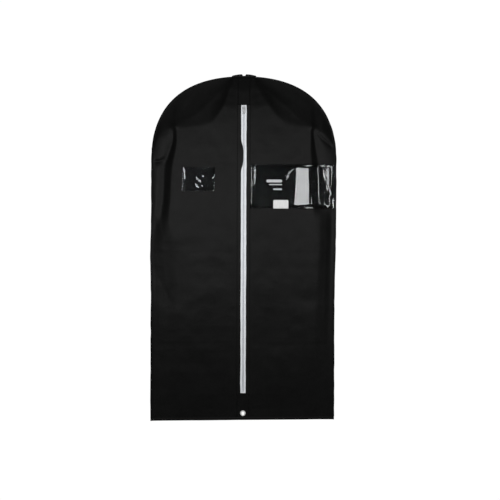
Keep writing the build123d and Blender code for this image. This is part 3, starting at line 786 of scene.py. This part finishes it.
def settle(side, shape, pinned, cell=7.0, growth=0.0012, frames=24, cap=3.0):
    """Lets a slightly too large sheet hang between its pinned seams, and keeps how far it moved."""
    rim = np.stack([dome_x, dome_z], axis=1)
    rim = np.concatenate([rim * (-1, 1), rim])
    whole = ((-HALF_WIDTH, HALF_WIDTH), (HEM_Z, DOME_TOP_Z))
    points, quads = grid(*whole, cell, lambda x, z: z < edge_height(x), rim)
    x, z = points[:, 0], points[:, 1]
    sign = -1 if side == "front" else 1
    start = np.stack([x, sign * shape(x, z), z], axis=1)
    mesh = bpy.data.meshes.new("settling")
    mesh.from_pydata((start * MM).tolist(), [], quads.tolist())
    sheet = bpy.data.objects.new("settling", mesh)
    scene.collection.objects.link(sheet)
    group = sheet.vertex_groups.new(name="seams")
    for k, weight in enumerate(pinned(x, z)):
        group.add([k], float(weight), "REPLACE")
    modifier = sheet.modifiers.new("hang", "CLOTH")
    cloth = modifier.settings
    for name, value in HANGING.items():
        setattr(cloth, name, value)
    cloth.shrink_min = -growth
    cloth.vertex_group_mass = "seams"
    cloth.effector_weights.gravity = 0.6
    modifier.collision_settings.use_collision = False
    modifier.point_cache.frame_end = frames
    for number in range(1, frames + 1):
        scene.frame_set(number)
    shown = sheet.evaluated_get(bpy.context.evaluated_depsgraph_get())
    moved = np.array([v.co for v in shown.data.vertices]) / MM
    scene.frame_set(1)
    change = np.clip(sign * (moved[:, 1] - start[:, 1]), -cap, cap)
    bpy.data.objects.remove(sheet)
    bpy.data.meshes.remove(mesh)
    xs = np.arange(-HALF_WIDTH, HALF_WIDTH + cell, cell)
    zs = np.arange(HEM_Z, DOME_TOP_Z + cell, cell)
    total = np.zeros((len(zs), len(xs)))
    weight = np.zeros((len(zs), len(xs)))
    u, v = (x - xs[0]) / cell, (z - zs[0]) / cell
    i, j = np.floor(u).astype(int), np.floor(v).astype(int)
    for di in (0, 1):
        for dj in (0, 1):
            ii, jj = np.clip(i + di, 0, len(xs) - 1), np.clip(j + dj, 0, len(zs) - 1)
            w = np.maximum(1 - np.abs(u - ii), 0) * np.maximum(1 - np.abs(v - jj), 0) + 1e-6
            np.add.at(total, (jj, ii), change * w)
            np.add.at(weight, (jj, ii), w)
    field = total / np.maximum(weight, 1e-6) * (weight > 1e-5)
    for _ in range(SMOOTHING):
        padded = np.pad(field, 1, mode="edge")
        field = (padded[:-2, 1:-1] + padded[2:, 1:-1] + padded[1:-1, :-2] + padded[1:-1, 2:] + 2 * field) / 6
    settled[side] = (xs, zs, field)


SLEEVE_X = 200.0  # outside this the front hangs in tight folds, which are set one by one
SLEEVE_Z = -520.0  # over this on the left; on the right they run all the way down


def front_pins(x, z):
    """1 where the front is sewn or rests on the hanger, 0 where it hangs free."""
    seams = (edge_gap(x, z) < 9) | (np.abs(x) < BAND + 6) | (z < FLAT_HEM_Z)
    over_hanger = np.abs(z - shoulder_height(x)) < 6
    sleeves = ((np.abs(x) > SLEEVE_X) & (z > SLEEVE_Z)) | (x > SLEEVE_X)
    window = (x > film_low[0]) & (z > film_low[2] - 6) & (z < film_high[2] + 6)
    return np.where(seams | window | sleeves, 1.0, np.where(over_hanger, 0.8, 0.0))


def back_pins(x, z):
    return np.where((edge_gap(x, z) < 9) | (z < FLAT_HEM_Z), 1.0, 0.0)


settle("front", front_shape, front_pins)
settle("back", back_shape, back_pins)


# ------------------------------------------------------------------ cloth panels

outline = np.stack([dome_x, dome_z], axis=1)
outline = resampled(np.concatenate([outline[::-1] * (-1, 1), outline[1:]]), 0.6)


def inside_outline(x, z):
    return (z < edge_height(x) - 0.4) & (np.abs(x) < half_width(z) + 0.1)


EYELET_HOLE = 5.9
hole_angles = np.linspace(0, 2 * math.pi, 90)
hole_rim = np.stack([EYELET_HOLE * np.cos(hole_angles), EYELET_Z + EYELET_HOLE * np.sin(hole_angles)], axis=1)


def outside_eyelet(x, z):
    return np.hypot(x, z - EYELET_Z) > EYELET_HOLE + 0.2


def front_panel(name, x_range, z_range, replaced):
    points, quads = grid(x_range, z_range, SHEET_CELL, inside_outline, outline)
    body = on_front(points[:, 0], points[:, 1], 0)
    return new_object(name, *closed_sheet(body, quads, CLOTH), cloth_black, "nonwoven_cloth", replaced)


UNDER_PLACKET = 1.5  # the panels' edges run on under the plackets
LEFT_PANEL = (-HALF_WIDTH, UNDER_PLACKET - BAND)
RIGHT_PANEL = (BAND - UNDER_PLACKET, HALF_WIDTH)
panel_left = front_panel("cloth_left", LEFT_PANEL, (HEM_Z, DOME_TOP_Z), ["front_panel_left"])
panel_right_upper = front_panel(
    "cloth_right_upper", RIGHT_PANEL, (upper_low[2], DOME_TOP_Z), ["front_panel_right_upper"]
)
panel_right_lower = front_panel(
    "cloth_right_lower", RIGHT_PANEL, (HEM_Z, lower_high[2]), ["front_panel_right_lower"]
)


def back_sheet():
    points, quads = grid(
        (-HALF_WIDTH, HALF_WIDTH),
        (HEM_Z, DOME_TOP_Z),
        3.4,
        lambda x, z: inside_outline(x, z) & outside_eyelet(x, z),
        np.concatenate([outline, hole_rim]),
    )
    body = on_back(points[:, 0], points[:, 1], 0)
    sheet = closed_sheet(body, quads[:, ::-1], CLOTH)
    return new_object("cloth_back", *sheet, cloth_black, "nonwoven_cloth", ["back_panel"])


panel_back = back_sheet()


def centre_band(name, z_range, replaced):
    """A plain strip between the two front panels, its edges turned under at the seams."""
    half = BAND - 0.3
    points, quads = grid((-half, half), z_range, 1.6, outside_eyelet, hole_rim)
    rounded = 0.7 * np.clip((np.abs(points[:, 0]) - half + 2.0) / 2.0, 0, 1) ** 2
    ripple = 0.25 * lattice_noise(points[:, 0], points[:, 1], 22, 71)
    body = on_front(points[:, 0], points[:, 1], 0.55 + ripple - rounded)
    return new_object(name, *closed_sheet(body, quads, CLOTH), cloth_black, "nonwoven_cloth", [replaced])


band_top = centre_band("band_top", (ZIP_TOP_Z, DOME_TOP_Z - 3.0), "centre_band_top")
band_bottom = centre_band("band_bottom", (HEM_Z, ZIP_BOTTOM_Z), "centre_band_bottom")


# ------------------------------------------------------------------ zip


def zip_depth(z):
    return ZIP_TOP_DEPTH + (ZIP_TOP_DEPTH - ZIP_BOTTOM_DEPTH) * (z - ZIP_TOP_Z) / (ZIP_TOP_Z - ZIP_BOTTOM_Z)


GAP_HALF = right_placket_low[0]  # half of the gap that shows the zip
PLACKET_OUTER = right_placket_high[0]
BULGE_Z = -254.0  # where the left placket leans over the zip
BULGE_HALF = 38.0


def placket(name, side, bulge, replaced, seed):
    """A strip folded double, its fold towards the zip and its raw edges sewn down under the seam."""
    rings = []
    for z in np.arange(ZIP_BOTTOM_Z - 2.0, ZIP_TOP_Z + 2.5, 2.5):
        sway = 0.45 * lattice_noise(z, 0 * z, 40, seed) + 0.2 * lattice_noise(z, 0 * z, 13, seed + 1)
        lean = bulge * np.exp(-(((z - BULGE_Z) / BULGE_HALF) ** 4))
        inner = GAP_HALF + sway - lean
        lift = 0.45 + 0.35 * lattice_noise(z, 0 * z, 30, seed + 2) + 0.18 * lean
        face = zip_depth(z)
        half = 0.62 + 0.04 * lean
        middle = inner + 0.55 * (PLACKET_OUTER - inner)
        profile = [
            (PLACKET_OUTER, 0.05),
            (PLACKET_OUTER - 0.3, 0.9),
            (PLACKET_OUTER - 1.6, 1.1),
            (middle, lift + 0.75 + 0.3 * half),
            (inner + 1.4, lift + 0.55 + half),
            (inner + 0.4, lift + 0.45 + 0.8 * half),
            (inner, lift + 0.4),
            (inner + 0.4, lift + 0.15),
            (inner + 1.6, lift * 0.6),
            (middle, 0.12 * lift),
            (PLACKET_OUTER - 1.6, 0.02),
        ]
        rings.append([(side * px, -face - max(py, 0.05) - 0.25, z) for px, py in profile])
    if side < 0:
        rings = [ring[::-1] for ring in rings]
    return new_object(name, *loft(rings), cloth_black, "nonwoven_cloth", [replaced])


placket_l = placket("placket_fold_left", -1, 7.6, "placket_left", 11)
placket_r = placket("placket_fold_right", 1, 0.0, "placket_right", 17)


def zip_tape(name, side, replaced):
    low, high = 0.12, tape_high[0]
    x_range = (low, high) if side > 0 else (-high, -low)
    points, quads = grid(x_range, (ZIP_BOTTOM_Z + 0.2, ZIP_TOP_Z - 0.2), 1.9)
    x, z = points[:, 0], points[:, 1]
    ripple = 0.12 * lattice_noise(x, z, 14, 23)
    body = facing(x, zip_depth(z) + ripple * smooth_step(np.abs(x), 3.5, 7), z)
    return new_object(name, *closed_sheet(body, quads, 0.8), tape_white, "zip_tape", [replaced])


tape_l = zip_tape("tape_left", -1, "zip_tape_left")
tape_r = zip_tape("tape_right", 1, "zip_tape_right")

COIL_PITCH = 1.5
FILAMENT = 0.3  # radius of the coil's monofilament


def coil(name, side, replaced):
    """One polyester coil: a flattened helix along the zip."""
    turns = int((coil_high[2] - coil_low[2]) / COIL_PITCH)
    steps = 9
    angle = np.arange(turns * steps + 1) * 2 * math.pi / steps
    z = coil_high[2] - 0.3 - angle / (2 * math.pi) * COIL_PITCH
    middle = side * (coil_high[0] - 0.4) / 2
    reach = (coil_high[0] + 0.4) / 2 - FILAMENT
    x = middle - side * reach * np.cos(angle)
    lift = 1.0 + (1.0 - FILAMENT) * np.sin(angle)
    route = facing(x, zip_depth(z) + lift, z)
    along = np.gradient(route, axis=0)
    along /= np.linalg.norm(along, axis=1)[:, None]
    inward = np.stack([middle - x, -(1.0 - lift), 0 * z], axis=1)
    inward -= (inward * along).sum(1)[:, None] * along
    inward /= np.linalg.norm(inward, axis=1)[:, None]
    across = np.cross(along, inward)
    sides = [2 * math.pi * k / 6 for k in range(6)]
    rings = np.stack([route + FILAMENT * (inward * math.cos(a) + across * math.sin(a)) for a in sides], axis=1)
    return new_object(name, *loft(rings), coil_white, "zip_coil", [replaced])


coil("coil_left", -1, "zip_coil_left")
coil("coil_right", 1, "zip_coil_right")

for material, names in (
    (stop_white, ("zip_top_stops", "zip_bottom_stop")),
    (metal_grey, ("slider_body", "slider_bridge", "pull_tab")),
    (metal_bright, ("hem_eyelet", "hem_eyelet_washer")),
):
    for name in names:
        dress_node(name, material)


# ------------------------------------------------------------------ window, label, card pocket

FILM = 0.35  # thickness of the window's film as it is drawn
POCKET_FILM = 0.3
WINDOW = (film_low[0], film_high[0], film_low[2], film_high[2])  # left, right, bottom, top
WINDOW_FOLDS = (
    # small creases that catch the light
    ([(163, -292), (146, -303), (124, -327)], 0.75, (3.5, 5), 0.2, 0.3),
    ([(160, -306), (138, -318), (128, -340)], 0.5, (3, 4), 0.2, 0.3),
    ([(124, -284), (116, -289), (106, -293)], 0.7, (3, 4), 0.2, 0.3),
    ([(256, -286), (262, -320), (272, -372)], 0.9, (4, 8), 0.2, 0.2),
    ([(270, -296), (284, -330), (268, -366)], 0.8, (4, 6), 0.2, 0.3),
    ([(50, -300), (46, -322), (52, -340)], 0.3, (5, 6), 0.3, 0.3),
)


FACET = (161.0, 167.0, 209.0)  # x where the broad facet starts at its bottom and top, and where it ends
FACET_TILT = 0.07  # how much more steeply than the cloth the facet falls away
FACET_DROP = 2.2  # the step down at the facet's right edge
FACET_FADE = (224.0, 242.0)  # x over which that step runs out
LEAN = 1.6  # how far the film stands off the cloth just inside its left seam
LEAN_REACH = 67.0  # and how far to the right that runs out
# Towards the side the film is flat: x where that begins, is reached, ends and is over, and its depth there
SIDE_FLAT = (228.0, 242.0, 272.0, 288.0)
SIDE_DEPTH = 5.2
CRINKLE_X = 248.0  # the film is crinkled from here to the side


def film_depth(x, z):
    """Depth of the window film's outer face."""
    x, z = np.asarray(x, float), np.asarray(z, float)
    left, right, bottom, top = WINDOW
    inset = np.minimum(np.minimum(x - left, right - x), np.minimum(z - bottom, top - z))
    seam = front_shape(x, z)
    free = smooth_step(inset, 4, 14)
    facet_start = FACET[0] + (FACET[1] - FACET[0]) * smooth_step(z, bottom, top)
    held = 1 - smooth_step(x, *FACET_FADE)
    facet = FACET_TILT * np.clip(x - facet_start, 0, FACET[2] - facet_start) * held
    facet = facet + FACET_DROP * smooth_step(x, FACET[2] - 0.5, FACET[2] + 4.5) * held
    leaned = LEAN * smooth_step(x, left, left + 3) * np.clip(1 - (x - left - 3) / LEAN_REACH, 0, 1)
    depth = seam + 0.9 + smooth_step(np.minimum(z - bottom, top - z), 0, 5) * leaned - free * facet
    flat = free * smooth_step(x, *SIDE_FLAT[:2]) * (1 - smooth_step(x, *SIDE_FLAT[2:]))
    depth = depth + flat * (SIDE_DEPTH - depth)
    depth = folded(depth, x, z, WINDOW_FOLDS, free)
    tucked = -0.9 * np.exp(-((x - left - 7) / 8) ** 2) * smooth_step(z, bottom + 60, bottom + 95)
    wrinkle = 0.05 * lattice_noise(x, z, 21, 91) + 0.16 * lattice_noise(x, 0.6 * z, 50, 92)
    crinkled = smooth_step(x, CRINKLE_X, CRINKLE_X + 10)
    wrinkle = wrinkle + crinkled * (0.4 * lattice_noise(x, z, 12, 93) + 0.3 * lattice_noise(x, 0.4 * z, 20, 94))
    near_seam = (1 - smooth_step(inset, 6, 10)) * smooth_step(edge_gap(x, z), 3, 30)
    rim = near_seam * (crumple(x, z, 5) + packing(x, z))
    return np.maximum(depth + free * (wrinkle + tucked) + rim, EDGE + 0.5)


def film_sheet(name, x_range, z_range, cell, depth, thickness, replaced):
    points, quads = grid(x_range, z_range, cell)
    x, z = points[:, 0], points[:, 1]
    sheet = closed_sheet(facing(x, depth(x, z), z), quads, thickness)
    return new_object(name, *sheet, film_clear, "clear_film", replaced)


window = film_sheet("film_window", WINDOW[:2], WINDOW[2:], 1.9, film_depth, FILM, ["window_film"])


def label_patch():
    """A blank cloth label with rounded top corners."""
    left, right, bottom, top = label_low[0], label_high[0], label_low[2], label_high[2]
    radius = 4.0
    points, quads = grid((left, right), (bottom, top), 1.0)
    x, z = points[:, 0], points[:, 1]
    corner_x = np.clip(np.abs(x - (left + right) / 2) - (right - left) / 2 + radius, 0, None)
    corner_z = np.clip(z - top + radius, 0, None)
    reach = np.hypot(corner_x, corner_z)
    shrink = np.where(reach > radius, radius / np.maximum(reach, 1e-6), 1.0)
    x = x - np.sign(x - (left + right) / 2) * corner_x * (1 - shrink)
    z = z - corner_z * (1 - shrink)
    body = facing(x, film_depth(x, z) + 0.35, z)
    return new_object("label_patch", *closed_sheet(body, quads, 0.3), label_white, "label_cloth", ["blank_label"])


label = label_patch()


def printed_bar(x_range, z_range):
    """A plain printed strip on the film, with rounded ends."""
    points, quads = grid(x_range, z_range, 1.2)
    x, z = points[:, 0], points[:, 1]
    half = (z_range[1] - z_range[0]) / 2
    middle = (z_range[1] + z_range[0]) / 2
    bow = half - np.sqrt(np.maximum(half**2 - (z - middle) ** 2, 0))
    low_end = np.clip((x_range[0] + 3 - x) / 3, 0, 1)
    high_end = np.clip((x - x_range[1] + 3) / 3, 0, 1)
    x = x + bow * low_end - bow * high_end
    return closed_sheet(facing(x, film_depth(x, z) + 0.06, z), quads, 0.05)


PRINT_BARS = (
    ((72.0, 122.0), (-338.5, -329.5)),
    ((80.0, 122.0), (-347.0, -343.5)),
    ((93.0, 121.5), (-362.5, -357.5)),
)
bars = new_object("printed_bars", *merged([printed_bar(*bar) for bar in PRINT_BARS]), print_grey, "label_cloth")


POCKET = (pocket_low[0], pocket_high[0], pocket_low[2], pocket_high[2])
POCKET_FOLDS = (
    ([(-152, -318), (-140, -330), (-128, -341)], 0.7, (3, 5), 0.2, 0.3),
    ([(-154, -344), (-142, -352), (-128, -354)], 0.7, (5, 4), 0.3, 0.3),
    ([(-158, -360), (-142, -365), (-126, -361)], 0.45, (3, 3), 0.2, 0.3),
)


def pocket_depth(x, z):
    left, right, bottom, top = POCKET
    inset = np.minimum(np.minimum(x - left, right - x), z - bottom)
    free = smooth_step(inset, 2, 12)
    depth = folded(front_depth(x, z) + 0.45 + 0.3 * free, x, z, POCKET_FOLDS, free)
    return depth + 0.12 * free * lattice_noise(x, z, 15, 41) + 0.05 * free * lattice_noise(x, z, 7, 42)


pocket = film_sheet("film_pocket", POCKET[:2], POCKET[2:], 1.2, pocket_depth, POCKET_FILM, ["card_pocket_film"])


def weld_ridge(route, radius=0.45):
    """A low rounded ridge where the pocket's film is welded down."""
    route = resampled(route, 2.0)
    rings = []
    along = np.gradient(route, axis=0)
    along /= np.linalg.norm(along, axis=1)[:, None]
    across = np.cross(along, (0, -1.0, 0))
    for point, side in zip(route, across):
        ring = [(1.25, -0.05), (0.9, 0.8), (0.0, 1.0), (-0.9, 0.8), (-1.25, -0.05), (0.0, -0.2)]
        rings.append([point + side * a * radius * 1.4 + np.array((0, -1, 0)) * b * radius for a, b in ring])
    return loft(rings)


def pocket_line(x, z):
    x, z = np.broadcast_arrays(np.asarray(x, float), np.asarray(z, float))
    return facing(x, pocket_depth(x, z) + 0.02, z)


WELD_INSET = 1.6
weld_z = np.linspace(POCKET[2] + WELD_INSET, POCKET[3] - 1, 30)
weld_x = np.linspace(POCKET[0] + WELD_INSET, POCKET[1] - WELD_INSET, 40)
weld_lines = (
    (POCKET[0] + WELD_INSET, weld_z),
    (POCKET[1] - WELD_INSET, weld_z),
    (weld_x, POCKET[2] + WELD_INSET),
)
weld_parts = [weld_ridge(pocket_line(*line)) for line in weld_lines]
welds = new_object("pocket_welds", *merged(weld_parts), film_clear, "clear_film", ["card_pocket_strips"])


# ------------------------------------------------------------------ bindings and collar

BINDING_REACH = 5.4
BINDING_RIM = 0.9
LINING = 0.04  # gap between the tape and the cloth under it


def binding(route, out, reach):
    """A tape folded over the cloth's edge: route holds its (x, z) points and out the directions out of it."""
    wobble = 0.35 * lattice_noise(np.arange(len(route)), np.zeros(len(route)), 7, 61)[:, None]
    shares = np.array([1.0, 0.9, 0.55, 0.2, 0.0])
    inset = (reach + wobble) * shares
    x = route[:, :1] - out[:, :1] * inset
    z = route[:, 1:] - out[:, 1:] * inset
    puff = np.array([0.35, 0.95, 1.05, 1.0, 0.95]) + 0.08 * wobble
    front, back = front_depth(x, z), back_depth(x, z)
    rim = route + out * BINDING_RIM
    crown = rim + 0.3 * out
    bend = [(rim, -0.9), (crown, 0.0), (rim, 0.9)]
    bend = np.stack([np.stack([p[:, 0], 0 * p[:, 0] + y, p[:, 1]], axis=1) for p, y in bend], axis=1)
    inner = [0, 2, 4]
    rings = np.concatenate(
        [
            np.stack([x, -front - puff, z], axis=2),
            bend,
            np.stack([x, back + puff, z], axis=2)[:, ::-1],
            np.stack([x, back + LINING, z], axis=2)[:, inner],
            np.stack([x, -front - LINING, z], axis=2)[:, inner[::-1]],
        ],
        axis=1,
    )
    return loft(rings)


def side_route(side):
    """Edge points of one side, from the hem's binding up and round the dome to the collar."""
    low = np.array([[HALF_WIDTH, hem_high[2] + 0.3], [HALF_WIDTH, SPRING_Z - 2]])
    dome = np.stack([dome_x, dome_z], axis=1)[::-1]
    dome = dome[dome[:, 0] > COLLAR_HALF + 0.3]
    route = resampled(np.concatenate([resampled(low, 3.0), dome]), 3.0)
    height, still = route[:, 1], 0 * route[:, 1]
    kinks = 0.5 * lattice_noise(height, still, 24, 83 + side) + 0.3 * lattice_noise(height, still, 70, 85 + side)
    along = np.gradient(route, axis=0)
    along /= np.linalg.norm(along, axis=1)[:, None]
    out = np.stack([along[:, 1], -along[:, 0]], axis=1)
    route = route + out * (kinks * smooth_step(-route[:, 1], 60, 200))[:, None]
    flip = np.array([side, 1])
    return route * flip, out * flip


def side_binding(name, side, replaced):
    route, out = side_route(side)
    points, faces = binding(route, out, BINDING_REACH)
    if side < 0:
        faces = [face[::-1] for face in faces]
    return new_object(name, points, faces, tape_black, "binding_tape", [replaced])


binding_l = side_binding("binding_left", -1, "edge_binding_left")
binding_r = side_binding("binding_right", 1, "edge_binding_right")


def hem_tape():
    x = np.linspace(-HALF_WIDTH - 0.6, HALF_WIDTH + 0.6, 197)
    corner = 1.2 * (smooth_step(np.abs(x), HALF_WIDTH - 9, HALF_WIDTH)) ** 2
    wave = 0.5 * lattice_noise(x, 0 * x, 60, 95) - corner
    route = np.stack([x, HEM_Z + 0.3 + wave * 0.5], axis=1)
    out = np.repeat([[0.0, -1.0]], len(x), axis=0)
    points, faces = binding(route, out, hem_high[2] - HEM_Z)
    faces = [face[::-1] for face in faces]
    return new_object("binding_hem", points, faces, tape_black, "binding_tape", ["hem_binding"])


binding_h = hem_tape()

HOOK_RADIUS = 4.0
COLLAR_SHEET = 1.2
COLLAR_TURN = 0.16  # share of each flap that makes the rounded crest


def collar():
    """A strip folded over the top seam, with two raised lips and a notch for the hanger's hook."""
    xs = np.linspace(-COLLAR_HALF, COLLAR_HALF, 157)
    along = np.linspace(-1, 1, 61)
    crest_low, crest_high = 0.8, collar_high[2]
    x, a = np.meshgrid(xs, along, indexing="ij")
    flank = np.clip((COLLAR_HALF - np.abs(x)) / (COLLAR_HALF - 6.2), 0, 1)
    crest = crest_low + (crest_high - crest_low) * np.sin(flank * math.pi / 2) ** 0.8
    notch = smooth_step(np.abs(x), 3.6, 6.4)
    crest = crest * notch + 1.5 * (1 - notch)
    flap = COLLAR_FLAP_Z + 0.5 * lattice_noise(x, 0 * x, 9, 77)
    drop = np.abs(a)
    turn = np.minimum(drop / COLLAR_TURN, 1)
    z = crest - (crest - flap) * np.maximum(drop - COLLAR_TURN, 0) / (1 - COLLAR_TURN)
    seam_z = np.minimum(z, -1.2)
    surface = np.where(a < 0, front_depth(x, seam_z), back_depth(x, seam_z))
    wall = np.maximum(surface, 3.0) + COLLAR_SHEET + np.where(z < -1, 0, 0.25 * (z + 1))
    y = np.sign(a) * wall * np.sin(turn * math.pi / 2)
    z = z + 0.6 * (1 - turn) * notch
    points = np.stack([x, y, z], axis=-1).reshape(-1, 3)
    columns, count = len(along), len(xs)
    first = (np.arange(count - 1)[:, None] * columns + np.arange(columns - 1)[None]).ravel()
    quads = np.stack([first, first + columns, first + columns + 1, first + 1], axis=1)
    centres = points[quads].mean(axis=1)
    over_hook = (np.hypot(centres[:, 0], centres[:, 1]) < HOOK_RADIUS) & (centres[:, 2] > -1)
    quads = quads[~over_hook]
    uses = np.bincount(quads.ravel(), minlength=len(points))
    reach = np.hypot(points[:, 0], points[:, 1])
    lip = (uses > 0) & (uses < 4) & (reach < HOOK_RADIUS + 1.2) & (points[:, 2] > -1)
    points[lip, :2] *= (HOOK_RADIUS / reach[lip])[:, None]
    kept, flat = np.unique(quads.ravel(), return_inverse=True)
    sheet = closed_sheet(points[kept], flat.reshape(quads.shape), COLLAR_SHEET * 0.6)
    return new_object("collar_strip", *sheet, cloth_black, "nonwoven_cloth", ["top_collar"])


collar_piece = collar()


# ------------------------------------------------------------------ stitching

FRONT = np.array([0.0, -1.0, 0.0])
BACK = np.array([0.0, 1.0, 0.0])


def seam_stitches():
    """The stitch lines beside the zip, and along and across the centre band."""
    parts = []
    x_band = np.linspace(-BAND + 3, BAND - 3, 20)
    z_zip = np.linspace(ZIP_BOTTOM_Z + 1, ZIP_TOP_Z - 1, 400)
    for side in (-1, 1):
        x = side * (PLACKET_OUTER - 1.9) + 0 * z_zip
        parts.append(stitches(facing(x, zip_depth(z_zip) + 1.42, z_zip), FRONT))
        for z_range in ((HEM_Z + 9, ZIP_BOTTOM_Z - 1), (ZIP_TOP_Z + 1, COLLAR_FLAP_Z - 1)):
            z = np.linspace(*z_range, 60)
            parts.append(stitches(on_front(side * (BAND - 2.4) + 0 * z, z, 0.66), FRONT))
    for z in (ZIP_TOP_Z + 2.2, ZIP_BOTTOM_Z - 2.2):
        parts.append(stitches(on_front(x_band, z, 0.66), FRONT))
    return parts


def window_stitches():
    left, right, bottom, top = WINDOW
    inset = 3.6
    low, high = (left + inset, bottom + inset), (right - inset, top - inset)
    route = resampled([low, (high[0], low[1]), high, (low[0], high[1]), low], 2.0)
    x, z = route[:, 0], route[:, 1]
    return [stitches(facing(x, film_depth(x, z) + 0.02, z), FRONT)]


def edge_stitches():
    """The stitch lines of the bindings and the collar, on both faces."""
    lines = []
    for side in (-1, 1):
        route, out = side_route(side)
        line = route - out * (BINDING_REACH - 1.5)
        lines.append((line[:, 0], line[:, 1], 1.04))
    x = np.linspace(-HALF_WIDTH + 3, HALF_WIDTH - 3, 200)
    lines.append((x, hem_high[2] - 1.8, 1.04))
    x = np.linspace(-COLLAR_HALF + 2, COLLAR_HALF - 2, 40)
    lines.append((x, COLLAR_FLAP_Z + 2.2, COLLAR_SHEET + 0.02))
    parts = []
    for line in lines:
        parts += [stitches(on_front(*line), FRONT), stitches(on_back(*line), BACK)]
    return parts


def thread(name, parts):
    return new_object(name, *merged(parts), thread_black, "binding_tape")


thread("stitches_zip", seam_stitches())
thread_window = thread("stitches_window", window_stitches())
thread("stitches_edges", edge_stitches())


# ------------------------------------------------------------------ camera, light, floor

AIM = Vector((0.0208, 0.0, -0.553))
DISTANCE = 5.0
SENSOR = 36.0
FRAME_WIDTH = 1.5935  # metres of the bag's plane that the view takes in
ROLL = math.radians(-0.2)


def make_camera():
    data = bpy.data.cameras.new("camera")
    data.sensor_width = SENSOR
    data.lens = SENSOR * DISTANCE / FRAME_WIDTH
    data.clip_end = 50
    camera = bpy.data.objects.new("camera", data)
    camera.location = AIM + Vector((0, -DISTANCE, 0))
    camera.rotation_euler = (math.radians(90), ROLL, 0)
    scene.collection.objects.link(camera)
    scene.camera = camera


def soft_box(name, place, aim, size, radiance):
    """A soft light of a known radiance, which the camera itself doesn't see."""
    data = bpy.data.lights.new(name, "AREA")
    data.shape = "RECTANGLE"
    data.size, data.size_y = size
    data.energy = radiance * math.pi * size[0] * size[1]
    lamp = bpy.data.objects.new(name, data)
    lamp.location = place
    lamp.rotation_euler = (Vector(aim) - Vector(place)).to_track_quat("-Z", "Y").to_euler()
    lamp.visible_camera = False
    scene.collection.objects.link(lamp)


def make_world():
    """White behind the object, dim as a light, so that the black cloth keeps its shadows."""
    world = bpy.data.worlds.new("studio")
    scene.world = world
    world.use_nodes = True
    nodes, links = world.node_tree.nodes, world.node_tree.links
    nodes.clear()
    seen = add_node(nodes, "ShaderNodeBackground", Color=(1, 1, 1, 1), Strength=1.02)
    fill = add_node(nodes, "ShaderNodeBackground", Color=(1, 1, 1, 1), Strength=0.03)
    path = add_node(nodes, "ShaderNodeLightPath")
    mix = add_node(nodes, "ShaderNodeMixShader")
    end = add_node(nodes, "ShaderNodeOutputWorld")
    links.new(path.outputs["Is Camera Ray"], mix.inputs["Fac"])
    links.new(fill.outputs[0], mix.inputs[1])
    links.new(seen.outputs[0], mix.inputs[2])
    links.new(mix.outputs[0], end.inputs["Surface"])


def make_floor():
    """A pale round floor well under the hanging bag."""
    pale = Surface("floor_pale", Roughness=0.8)
    pale.colour(pale.noise(pale.place(), 3, 3, 0.5), (0.8, 0.8, 0.8), (0.84, 0.84, 0.84))
    rim = [(math.cos(a), math.sin(a), -1.52) for a in np.linspace(0, 2 * math.pi, 97)[:-1]]
    mesh = bpy.data.meshes.new("floor")
    mesh.from_pydata(rim, [], [list(range(96))])
    mesh.materials.append(pale.material)
    floor = bpy.data.objects.new("floor", mesh)
    scene.collection.objects.link(floor)


CHEST = (0.0, 0.0, -0.42)
LIGHT_Z = -0.38


def three_lights(kind, y, middle_x):
    """A narrow light near the middle and a broader one on each side, on one side of the bag."""
    soft_box(kind + "_middle", (middle_x, y, LIGHT_Z), CHEST, (0.16, 0.42), 15.5)
    for side, x in (("right", 0.54), ("left", -0.54)):
        soft_box(kind + "_" + side, (x, y, LIGHT_Z), CHEST, (0.24, 0.5), 14.7)


make_camera()
make_world()
make_floor()
three_lights("key", -1.2, -0.02)
soft_box("top", (0.0, -1.3, 0.55), (0.0, 0.0, -0.1), (0.8, 0.3), 2.4)
three_lights("back", 1.2, 0.02)
scene.view_settings.view_transform = "Standard"
scene.view_settings.look = "None"

bpy.context.view_layer.update()
